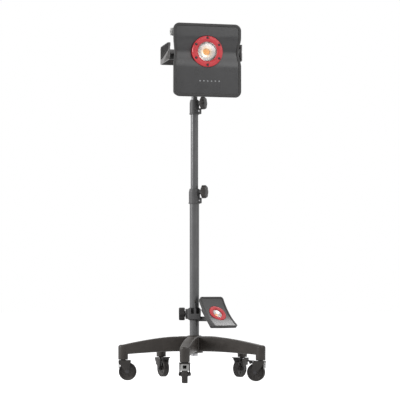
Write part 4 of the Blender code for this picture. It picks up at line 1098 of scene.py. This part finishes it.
def make_front():
    """Bezel, face, red ring with its screws, lens, reflector and light source."""
    finished(moved(bezel_shape(), YOKE_PLACE), "lamp_bezel_finished", "lamp", "lamp_shell",
             ["lamp_bezel"])
    finished(moved(face_shape(), YOKE_PLACE), "lamp_face_finished", "lamp", "lamp_face",
             ["lamp_face"], smooth=50)
    spot = YOKE_PLACE @ at(0, 0, RING_Z)
    front = RING_FRONT
    ring = turned_shape(eased([
        (RING_RADIUS, front + 0.029), (RING_RADIUS, front + 0.0032), (RING_RADIUS - 0.0032, front),
        (RING_INNER + 0.0075, front), (RING_INNER, front + 0.0050), (RING_INNER, front + 0.0080),
        (RING_INNER + 0.0023, front + 0.0080), (RING_INNER + 0.0023, front + 0.029),
    ], 0.0009), "Y", FINE_STEPS)
    count = bpy.context.scene.stand_sizes.ring_screws
    spots = [(0.0556 * math.cos(a), 0.0556 * math.sin(a))
             for a in (math.radians(90 + 360 * i / count) for i in range(count))]
    sinks = [moved(rod_shape(0.0060, front - 0.002, front + 0.0026, "Y", steps=40), at(x, 0, z))
             for x, z in spots]
    cut_away(ring, *sinks)
    finished(moved(ring, spot), "lamp_ring_finished", "lamp", "lamp_red", ["lamp_ring"])
    heads = [moved(screw_shape(0.0047, 0.0020), at(x, front + 0.0026, z) @ facing("Y", -1)) for x,
             z in spots]
    finished(moved(joined(*heads), spot), "lamp_ring_screws", "lamp", "steel",
             material="dark_screw")
    dome = [(RING_INNER * 0.99 * math.sin(t),
             front + 0.0078 - 0.0045 * (math.cos(t) - math.cos(1.2)) / (1 - math.cos(1.2)))
            for t in (1.2 * i / 16 for i in range(17))]
    scale = RING_INNER * 0.985 / dome[-1][0]
    dome = [(r * scale, y) for r, y in dome]
    lens = turned_shape(dome + [
        (RING_INNER + 0.0020, front + 0.0083), (RING_INNER + 0.0020, front + 0.0112),
        (0, front + 0.0112),
    ], "Y", FINE_STEPS)
    finished(moved(lens, spot), "lamp_lens_finished", "lamp", "lens_clear", ["lamp_lens"])
    mouth, floor, hole = -0.2300, -0.2168, 0.0138
    curve = [(r, floor + (mouth - floor) * (r * r - hole ** 2) / (0.0395 ** 2 - hole ** 2))
             for r in (hole + (0.0395 - hole) * i / 20 for i in range(21))]
    bowl = turned_shape(curve + [(0.0418, mouth), (0.0418, mouth + 0.001)] + [
        (r + 0.0012, y + 0.0014) for r, y in reversed(curve)],
                        "Y", FINE_STEPS)
    finished(moved(bowl, spot), "lamp_reflector_finished", "lamp", "reflector", ["lamp_reflector"],
             smooth=50)
    light = turned_shape([
        (0, -0.2186), (0.0080, -0.2184), (0.0115, -0.2179), (0.0128, -0.2170), (0.0128, -0.1932),
        (0, -0.1932),
    ], "Y")
    finished(moved(light, spot), "lamp_light_source", "lamp", "led_yellow", ["lamp_led"])
    board = box_shape((0.228, 0.0028, 0.118), (0, -0.1915, RING_Z - 0.010), 0.0006)
    finished(moved(board, YOKE_PLACE), "lamp_board", "lamp", "led_yellow", material="board_white")
    battery = box_shape((0.170, 0.038, 0.080), (0, -0.1535, LAMP_Z - 0.035), 0.006, 4)
    finished(moved(battery, YOKE_PLACE), "lamp_battery_finished", "lamp", "rubber_black",
             ["lamp_battery"])
    plane = FACE_Y + RIM_PROUD + VALLEY_DEPTH * valley(DOTS_Z)
    dots = [moved(rod_shape(0.0030, plane - 0.0006, plane + 0.001, "Y", 0.0003, 32),
                  at(x, 0, DOTS_Z))
            for x in DOT_PLACES]
    finished(moved(joined(*dots), YOKE_PLACE), "lamp_indicator_dots", "lamp", "lamp_face",
             material="mark_grey")


def sided(place, side):
    """The place itself, or turned half round for the left side."""
    return place if side > 0 else place @ Matrix.Rotation(math.pi, 4, "Z")


def make_housing():
    """Rear shell with its bosses, pivots, cooling fins and power button."""
    front, back = BEZEL_BACK_Y + GAP, HOUSING_BACK_Y
    shell = lofted_shape([lamp_section(inset, y) for inset, y in (
        (0.036, back - 0.004), (0.028, back - 0.014), (0.021, front + 0.008), (LEDGE, front),
        (0.0125, front),
        (0.0120, front + 0.0005), (0.0120, front + 0.0036), (0.0124, front + 0.0042),
        (0.0165, front + 0.0078),
        (0.0172, front + 0.0086), (0.0238, back - 0.0135), (0.0246, back - 0.0112),
        (0.0262, back - 0.0088),
        (0.0320, back - 0.0014), (0.0334, back - 0.0004), (0.0352, back),
    )])
    pivots = [
        moved(rod_shape(radius, 0.106, end, "X", ease),
              Matrix.Scale(side, 4, (1, 0, 0)) @ at(0, TILT_Y, z))
        for radius, end, ease, z in ((0.0165, 0.1325, 0.0012, SIDE_BOSS_Z),
                                     (0.014, 0.1487, 0.0010, TILT_Z))
        for side in (-1, 1)
    ]
    for piece in pivots:
        edit(piece)
        clean_up()
        leave_edit()
    fused(shell, *pivots)
    slots = [box_shape((0.0024, 0.006, 0.026), (side * (0.030 + 0.0065 * i), back, BUTTON_Z),
                       0.0006, 1) for side in (-1, 1) for i in range(7)]
    cut_away(shell, moved(rod_shape(0.0093, back - 0.02, back + 0.01, "Y"), at(0, 0, BUTTON_Z)), *[
        moved(slot, at(0, 0.0018, 0)) for slot in slots])
    finished(moved(shell, YOKE_PLACE), "lamp_housing_finished", "lamp", "lamp_shell",
             ["lamp_housing"])
    bosses, screws = [], []
    for side in (-1, 1):
        boss = turned_shape([(0, 0.126), (0.0155, 0.126), (0.0155, 0.1388), (0.0148, 0.1398),
                             (0.0135, 0.1400), (0.0100, 0.1400),
                             (0.0095, 0.1394), (0.0075, 0.1390), (0, 0.1390)], "X")
        bosses.append(moved(boss, sided(at(0, TILT_Y, SIDE_BOSS_Z), side)))
        screws.append(moved(screw_shape(0.0045, 0.0010),
                            at(side * 0.1390, TILT_Y, SIDE_BOSS_Z) @ facing("X", side)))
        screws.append(moved(screw_shape(0.0085, 0.0026),
                            at(side * 0.1542, TILT_Y, TILT_Z) @ facing("X", side)))
        screws.append(moved(rod_shape(0.005, 0.147, 0.1548, "X", steps=32),
                            sided(at(0, TILT_Y, TILT_Z), side)))
        for up in (-1, 1):
            screws.append(moved(screw_shape(0.0034, 0.0013),
                                at(side * 0.0985, back, LAMP_Z + up * 0.1000) @ facing("Y")))
    finished(moved(joined(*bosses), YOKE_PLACE), "lamp_side_bosses", "lamp", "lamp_shell",
             material="boss_grey")
    finished(moved(joined(*screws), YOKE_PLACE), "lamp_screws", "lamp", "steel",
             material="dark_screw")
    count = bpy.context.scene.stand_sizes.fin_count
    middle = LAMP_Z + 0.015
    fins = [box_shape((0.168, 0.0045, 0.150), (0, back + 0.0012, middle), 0.0010)]
    for i in range(count):
        fins.append(box_shape((0.003, 0.0165, 0.148),
                              (-0.080 + 0.160 * i / (count - 1), back + 0.00975, middle), 0.0007,
                              2))
    finished(moved(joined(*fins), YOKE_PLACE), "lamp_cooling_fins", "lamp", "lamp_shell",
             material="fin_metal")
    button = turned_shape([
        (0, -0.0035), (0.0088, -0.0035), (0.0090, -0.0033), (0.0090, 0.0018), (0.0084, 0.0027),
        (0.0070, 0.0031), (0.0058, 0.0030),
        (0.0040, 0.0026), (0, 0.0024),
    ], "Y")
    finished(moved(button, YOKE_PLACE @ at(0, back, BUTTON_Z)), "power_button_finished", "button",
             "lamp_red", ["power_button"])
    lip = turned_shape([(0.0094, -0.0010), (0.0118, -0.0010), (0.0118, 0.0006), (0.0110, 0.0012),
                        (0.0100, 0.0012), (0.0094, 0.0007)], "Y")
    finished(moved(lip, YOKE_PLACE @ at(0, back, BUTTON_Z)), "power_button_lip", "lamp",
             "lamp_shell")


class MakeLamp(bpy.types.Operator):
    """Builds the square lamp: bezel, face, ring, lens, rear shell and button"""
    bl_idname = "light_stand.make_lamp"
    bl_label = "Square lamp"

    def execute(self, context):
        make_front()
        make_housing()
        return {"FINISHED"}


# Yoke

def strap_shape():
    """The U-shaped strap, with rounded arm ends and pivot holes."""
    inner_corner = YOKE_CORNER - YOKE_PLATE
    middle = (YOKE_HALF - YOKE_CORNER, YOKE_BACK_Y - YOKE_CORNER)
    outer = [(YOKE_HALF, YOKE_FRONT_Y)] + arc(middle, YOKE_CORNER, 0, 90, 12)
    inner = [(YOKE_HALF - YOKE_PLATE, YOKE_FRONT_Y)] + arc(middle, inner_corner, 0, 90, 12)
    plan = outer + [(-x, y) for x, y in reversed(outer)] + [(-x, y) for x, y in inner] + inner[::-1]
    strap = plate_shape(plan, YOKE_BOTTOM, YOKE_TOP)
    edit(strap)
    bpy.ops.mesh.select_mode(type="EDGE")
    bpy.ops.mesh.select_all(action="DESELECT")
    bm = bmesh.from_edit_mesh(strap.data)
    for edge in bm.edges:
        one, two = (v.co for v in edge.verts)
        ends = abs(one.y - YOKE_FRONT_Y) < 1e-5 and abs(two.y - YOKE_FRONT_Y) < 1e-5 and abs(
            one.z - two.z) < 1e-5
        edge.select_set(ends and abs(one.x - two.x) < 0.01)
    bmesh.update_edit_mesh(strap.data)
    bpy.ops.mesh.bevel(offset=0.0095, segments=8, affect="EDGES", clamp_overlap=False)
    leave_edit()
    rounded(strap, 0.0009, 2, 40)
    return cut_away(strap, moved(rod_shape(0.0057, -0.200, 0.200, "X", steps=40),
                                 at(0, TILT_Y, TILT_Z)))


def grip_shape(side):
    """A ribbed rubber grip that hooks over an arm's top edge."""
    outside, inside, thick = YOKE_HALF + GAP, YOKE_HALF - YOKE_PLATE - GAP, 0.0032
    over, lip, front, back = YOKE_TOP + GAP, YOKE_TOP - 0.012, -0.194, -0.056

    def lower_edge(y):
        return 1.360 - 0.026 * (y - front) / (back - front)

    sections = []
    for y in (front + (back - front) * i / 30 for i in range(31)):
        low = lower_edge(y)
        outline = eased([
            (outside, low), (outside + thick, low), (outside + thick, over + thick),
            (inside - thick, over + thick),
            (inside - thick, lip), (inside, lip), (inside, over), (outside, over),
        ], 0.0011, 3)
        sections.append([(side * x, y, z) for x, z in outline])
    grip = rounded(lofted_shape(sections), 0.0006, 2, 60)
    ribs = []
    for i in range(25):
        y = front + 0.009 + i * 0.005
        low = lower_edge(y) + 0.004
        ribs.append(box_shape((0.0012, 0.0022, over - 0.002 - low),
                              (side * (outside + thick), y, (low + over - 0.002) / 2), 0.0005))
        ribs.append(box_shape((0.0095, 0.0022, 0.0012),
                              (side * (outside + inside) / 2, y, over + thick), 0.0005))
    return joined(grip, *ribs)


class MakeYoke(bpy.types.Operator):
    """Builds the lamp's yoke with its grips, socket and knob"""
    bl_idname = "light_stand.make_yoke"
    bl_label = "Yoke"

    def execute(self, context):
        finished(moved(strap_shape(), YOKE_PLACE), "lamp_yoke_finished", "yoke", "lamp_shell",
                 ["lamp_yoke"], "strap_grey")
        # Painted shade: thin black plates on each arm's lower front, round the pivot, where the arm
        # lies in shade.
        shade_plates = []
        for side in (-1, 1):
            outline = eased([(-0.203, 1.3175), (-0.112, 1.3175), (-0.128, 1.3290),
                             (-0.203, 1.3530)], 0.006, 5)
            low, high = sorted((side * (YOKE_HALF - 0.0002), side * (YOKE_HALF + 0.0014)))
            shade_plate = rounded(plate_shape(outline, low, high, "X"), 0.0005, 2, 50)
            shade_plates.append(cut_away(shade_plate, moved(rod_shape(0.0088, -0.17, 0.17, "X", steps=48),
                                                at(0, TILT_Y, TILT_Z))))
        finished(moved(joined(*shade_plates), YOKE_PLACE), "yoke_pivot_covers", "yoke", "rubber_black",
                 material="knob_black")
        for side, name in ((-1, "left"), (1, "right")):
            finished(moved(grip_shape(side), YOKE_PLACE), f"grip_{name}_finished", "yoke",
                     "rubber_black", [f"grip_{name}"])
        low, high, radius, bore, seat = 1.296, 1.392, 0.020, 0.0128, TOP_TUBE[3] + GAP
        socket = turned_shape(eased([
            (bore, low), (radius, low), (radius, high - 0.004), (radius - 0.004, high), (0, high),
            (0, seat), (bore, seat),
        ], 0.0009))
        block = box_shape((0.064, 0.014, 0.052), (0, YOKE_BACK_Y + 0.0073, 1.350), 0.0022, 3)
        boss = moved(rod_shape(0.010, 0.0133, 0.0275, "Y", 0.0009), at(0, 0, 1.330))
        cut_away(fused(socket, block, boss), rod_shape(bore, low - 0.010, seat))
        finished(moved(socket, YOKE_PLACE), "yoke_socket_finished", "yoke", "collar_grey",
                 ["yoke_socket"])
        screws = [moved(screw_shape(0.0045, 0.0022),
                        at(x, YOKE_BACK_Y - YOKE_PLATE, z) @ facing("Y", -1))
                  for x in (-0.024, 0.024) for z in (1.334, 1.366)]
        finished(moved(joined(*screws), YOKE_PLACE), "yoke_screws", "yoke", "steel")
        make_knob("socket_knob", "yoke_knob_turn", "yoke_knob", *SOCKET_KNOB)
        return {"FINISHED"}


# Pad lamp and its clamp

def pad_place():
    across = Vector((-PAD_NORMAL.y, PAD_NORMAL.x, 0)).normalized()
    axes = Matrix((across, PAD_NORMAL.cross(across), PAD_NORMAL)).transposed().to_4x4()
    return Matrix.Translation(joint_place("pad_tilt")) @ axes


def pad_slab(inset, low, high):
    """A curved slab with rounded corners, the pad's outline less inset. It runs
    from low to high above the pad's hollow front."""
    half, corner = PAD_HEIGHT / 2, max(PAD_CORNER - inset, 0.003)
    middle = half - inset - corner
    ends = [middle + corner * math.sin(math.pi / 2 * i / 8) for i in range(9)]
    ends[-1] -= corner * 0.002
    heights = [-y for y in reversed(ends)] + [middle * (2 * i / 30 - 1)
                                              for i in range(1, 30)] + ends
    sections = []
    for y in heights:
        beyond = max(0, abs(y) - middle)
        wide = PAD_WIDTH / 2 - inset - corner + math.sqrt(corner ** 2 - beyond ** 2)
        z = PAD_FRONT + PAD_SAG * (y / half) ** 2
        sections.append([(wide, y, z + low), (wide, y, z + high), (-wide, y, z + high),
                         (-wide, y, z + low)])
    return lofted_shape(sections)


def make_pad_head():
    """Flat housing with its frame, face, red ring, lens and light source."""
    place = pad_place()
    shell = rounded(pad_slab(0, -PAD_THICK, 0), 0.0022, 4, 50)
    case = box_shape((0.106, 0.102, PAD_BOX_HIGH - PAD_BOX_LOW),
                     (0, -0.009, (PAD_BOX_HIGH + PAD_BOX_LOW) / 2), 0.004, 4)
    lugs = [box_shape((0.005, 0.024, PAD_BOX_LOW + 0.010),
                      (side * 0.0190, 0, (PAD_BOX_LOW - 0.008) / 2), 0.0020, 3) for side in (-1, 1)]
    fused(shell, case, *lugs)
    grooves = [box_shape((0.090, 0.0016, 0.0016), (0, -0.012 + 0.006 * i, PAD_BOX_LOW), 0.0003, 1)
               for i in (-6, -5, -4, -3, 3, 4, 5, 6)]
    seat = at(0, 0, PAD_FRONT + 0.001)
    well = moved(rod_shape(0.0390, -0.014, 0.010, steps=FINE_STEPS), seat)
    cut_away(shell, pad_slab(PAD_FRAME, -PAD_POCKET, 0.020), well,
             rod_shape(0.0028, -0.030, 0.030, "X", steps=32), *grooves)
    finished(moved(shell, place), "pad_housing_finished", "pad", "lamp_shell", ["pad_housing"])
    face = rounded(pad_slab(PAD_FRAME + 0.0004, -PAD_POCKET - 0.0004, -PAD_POCKET + 0.0004), 0.0002,
                   1, 50)
    cut_away(face, moved(rod_shape(0.0391, -0.012, 0.010, steps=FINE_STEPS), seat))
    finished(moved(face, place), "pad_face", "pad", "lamp_shell", material="pad_face")
    spot = place @ seat
    ring = turned_shape(eased([
        (0.0380, -0.0135), (0.0380, -0.0005), (0.0360, 0.0015), (0.0250, 0.0015), (0.0210, -0.0010),
        (0.0210, -0.0040),
        (0.0230, -0.0040), (0.0230, -0.0135),
    ], 0.0007), steps=FINE_STEPS)
    finished(moved(ring, spot), "pad_ring_finished", "pad", "lamp_red", ["pad_ring"])
    lens = turned_shape([
        (0, -0.0022), (0.0070, -0.0024), (0.0140, -0.0031), (0.0190, -0.0040), (0.0227, -0.0043),
        (0.0227, -0.0056), (0, -0.0056),
    ], steps=FINE_STEPS)
    finished(moved(lens, spot), "pad_lens_finished", "pad", "lens_clear", ["pad_lens"])
    curve = [(r, -0.0128 + 0.0068 * (r * r - 0.0070 ** 2) / (0.0226 ** 2 - 0.0070 ** 2))
             for r in (0.0070 + 0.0156 * i / 12 for i in range(13))]
    bowl = turned_shape(curve + [(r, z - 0.0006) for r, z in reversed(curve)], steps=FINE_STEPS)
    finished(moved(bowl, spot), "pad_reflector", "pad", "lamp_shell", material="reflector",
             smooth=50)
    light = rod_shape(0.0069, -0.0136, -0.0124, chamfer=0.0003)
    finished(moved(light, spot), "pad_light_source", "pad", "led_yellow")


def make_clamp():
    """Block round the mast with a screw boss, an arm to the pad's hinge and a post."""
    place = Matrix.Translation(POLE)
    hinge = at(*-POLE) @ pad_place()
    spot = hinge.translation
    low, high, arm_z = 0.250, 0.298, 0.2535
    middle = (low + high) / 2
    block = box_shape((0.056, 0.062, high - low), (-0.001, -0.003, middle), 0.006, 5)
    boss = moved(rod_shape(0.0215, -0.0375, -0.020, "X", 0.0018), at(0, 0, middle))
    reach = math.hypot(spot.x, spot.y)
    arm = box_shape((reach - 0.015, 0.017, 0.020), ((reach + 0.015) / 2, 0, arm_z), 0.0022, 3)
    moved(arm, Matrix.Rotation(math.atan2(spot.y, spot.x), 4, "Z"))
    eye = moved(rod_shape(0.0085, -0.0160, 0.0160, "X", 0.0008), hinge)
    post = moved(rod_shape(0.003, low + 0.010, 0.324, steps=32), at(0.003, -0.029, 0))
    fused(block, boss, arm, eye, post)
    cut_away(
        block, rod_shape(0.0228, low - 0.010, high + 0.010, steps=FINE_STEPS),
        box_shape((0.012, 0.030, 0.026), (0.0135, -0.025, high - 0.010), 0.001, 1),
        box_shape((0.012, 0.030, 0.026), (-0.0080, -0.025, high - 0.010), 0.001, 1),
        moved(rod_shape(0.0043, -0.060, -0.015, "X", steps=32), at(0, 0, middle)),
    )
    finished(moved(block, place), "pad_clamp_finished", "clamp", "collar_grey", ["pad_clamp"])
    cap = turned_shape([(0, 0.322), (0.0056, 0.322), (0.0060, 0.3224), (0.0060, 0.3296),
                        (0.0052, 0.3314), (0.0034, 0.3320), (0, 0.3320)])
    finished(moved(cap, place @ at(0.003, -0.029, 0)), "pad_clamp_post_cap", "clamp", "collar_grey",
             material="knob_black")
    pin = joined(rod_shape(0.0025, -0.0230, 0.0230, "X", steps=32),
                 moved(screw_shape(0.0042, 0.0018), at(0.0219, 0, 0) @ facing("X")),
                 moved(screw_shape(0.0042, 0.0018, False), at(-0.0219, 0, 0) @ facing("X", -1)))
    finished(moved(pin, place @ hinge), "pad_hinge_pin", "clamp", "steel")
    liner = turned_shape(eased([
        (0.0225, low - 0.002), (0.0225, high + 0.002), (0.0203, high + 0.002),
        (0.0203, low - 0.002),
    ], 0.0006), steps=FINE_STEPS)
    finished(moved(liner, place), "clamp_liner_finished", "liner", "rubber_black", ["clamp_liner"])
    make_knob("clamp_knob", "clamp_knob_turn", "clamp_screw", *CLAMP_KNOB, "rubber_black")


class MakePadLamp(bpy.types.Operator):
    """Builds the small pad lamp and the clamp that holds it on the mast"""
    bl_idname = "light_stand.make_pad_lamp"
    bl_label = "Pad lamp"

    def execute(self, context):
        make_pad_head()
        make_clamp()
        return {"FINISHED"}


# Floor, lamps and camera

FLOOR_SIZE, FLOOR_GLOW = 40, 0.88
WORLD_SHADE = (0.23, 0.23, 0.235, 1)
CAMERA_SHIFT, SENSOR_WIDTH = 0.0235, 36

# Lamps: size, place and what each points at
LIGHTS = {
    "key": (2.2, (-4.6, -1.3, 2.4), (0, 0, 0.8)),
    "overhead": (2.2, (2.0, -2.3, 2.9), (0, -0.2, 1.2)),
    "rear": (1.0, (1.1, 1.6, 2.6), (0.1, -0.05, 0.25)),
    "fill": (2.0, (3.4, -2.4, 1.8), (0, 0, 0.7)),
}


def seen_directly(tree):
    """1 for what the camera sees, itself or through glass and reflections."""
    path = tree.nodes.new("ShaderNodeLightPath").outputs
    first = sums(tree, "ADD", path["Is Camera Ray"], path["Is Glossy Ray"])
    result = sums(tree, "ADD", first, path["Is Transmission Ray"])
    result.node.use_clamp = True
    return result


def make_floor():
    bpy.ops.object.select_all(action="DESELECT")
    bpy.ops.mesh.primitive_plane_add(size=FLOOR_SIZE, location=(0, 0, 0))
    floor = bpy.context.object
    floor.name = "studio_floor"
    material = bpy.data.materials.new("floor_finish")
    material.use_nodes = True
    tree = material.node_tree
    shader = tree.nodes["Principled BSDF"]
    shader.inputs["Base Color"].default_value = (0.80, 0.80, 0.80, 1)
    shader.inputs["Roughness"].default_value = 0.9
    shader.inputs["Specular IOR Level"].default_value = 0
    shader.inputs["Emission Color"].default_value = (1, 1, 1, 1)
    tree.links.new(sums(tree, "MULTIPLY", seen_directly(tree), FLOOR_GLOW),
                   shader.inputs["Emission Strength"])
    floor.data.materials.append(material)


def make_world():
    world = bpy.data.worlds.new("studio")
    bpy.context.scene.world = world
    world.use_nodes = True
    tree = world.node_tree
    shade = mixed(tree, seen_directly(tree), WORLD_SHADE, (1, 1, 1, 1))
    tree.links.new(shade, tree.nodes["Background"].inputs["Color"])
    tree.nodes["Background"].inputs["Strength"].default_value = 1.0


def make_lamp_light(name, power, size, place, target):
    bpy.ops.object.light_add(type="AREA", location=place)
    light = bpy.context.object
    light.name = name
    light.data.energy = power
    light.data.size = size
    light.rotation_euler = (Vector(target) - Vector(place)).to_track_quat("-Z", "Y").to_euler()


class MakeStage(bpy.types.Operator):
    """Sets up the floor, the lamps and the camera of the photograph"""
    bl_idname = "light_stand.make_stage"
    bl_label = "Stage"

    def execute(self, context):
        stage = context.scene.stand_stage
        make_floor()
        make_world()
        for name, (size, place, target) in LIGHTS.items():
            make_lamp_light(name, getattr(stage, name), size, place, target)
        bpy.ops.object.camera_add(
            location=(POLE.x + CAMERA_SHIFT, POLE.y - stage.distance, stage.height),
            rotation=(math.pi / 2 + stage.pitch, 0, 0),
        )
        camera = bpy.context.object
        camera.data.lens = stage.lens
        camera.data.sensor_width = SENSOR_WIDTH
        context.scene.camera = camera
        context.scene.view_settings.view_transform = "Standard"
        return {"FINISHED"}


# Sidebar

OPERATORS = (MakeFinishes, MakeBase, MakeCasters, MakeMast, MakeYoke, MakeLamp, MakePadLamp,
             MakeStage)


class LightStandPanel(bpy.types.Panel):
    """Sizes, colours and building steps of the light stand"""
    bl_idname = "VIEW3D_PT_light_stand"
    bl_label = "Light stand"
    bl_space_type = "VIEW_3D"
    bl_region_type = "UI"
    bl_category = "Light stand"

    def draw(self, context):
        scene = context.scene
        for settings in (scene.stand_sizes, scene.stand_colours, scene.stand_stage):
            column = self.layout.column()
            for name in settings.bl_rna.properties.keys():
                if name not in ("rna_type", "name"):
                    column.prop(settings, name)
        for operator in OPERATORS:
            self.layout.operator(operator.bl_idname)


CLASSES = (StandSizes, StandColours, StageSettings, *OPERATORS, LightStandPanel)


def register():
    for cls in CLASSES:
        bpy.utils.register_class(cls)
    bpy.types.Scene.stand_sizes = PointerProperty(type=StandSizes)
    bpy.types.Scene.stand_colours = PointerProperty(type=StandColours)
    bpy.types.Scene.stand_stage = PointerProperty(type=StageSettings)


def unregister():
    for name in ("stand_sizes", "stand_colours", "stand_stage"):
        delattr(bpy.types.Scene, name)
    for cls in reversed(CLASSES):
        bpy.utils.unregister_class(cls)


def main():
    register()
    bpy.ops.light_stand.make_finishes()
    bpy.ops.light_stand.make_base()
    bpy.ops.light_stand.make_casters()
    bpy.ops.light_stand.make_mast()
    bpy.ops.light_stand.make_yoke()
    bpy.ops.light_stand.make_lamp()
    bpy.ops.light_stand.make_pad_lamp()
    bpy.ops.light_stand.make_stage()


if __name__ == "__main__":
    main()
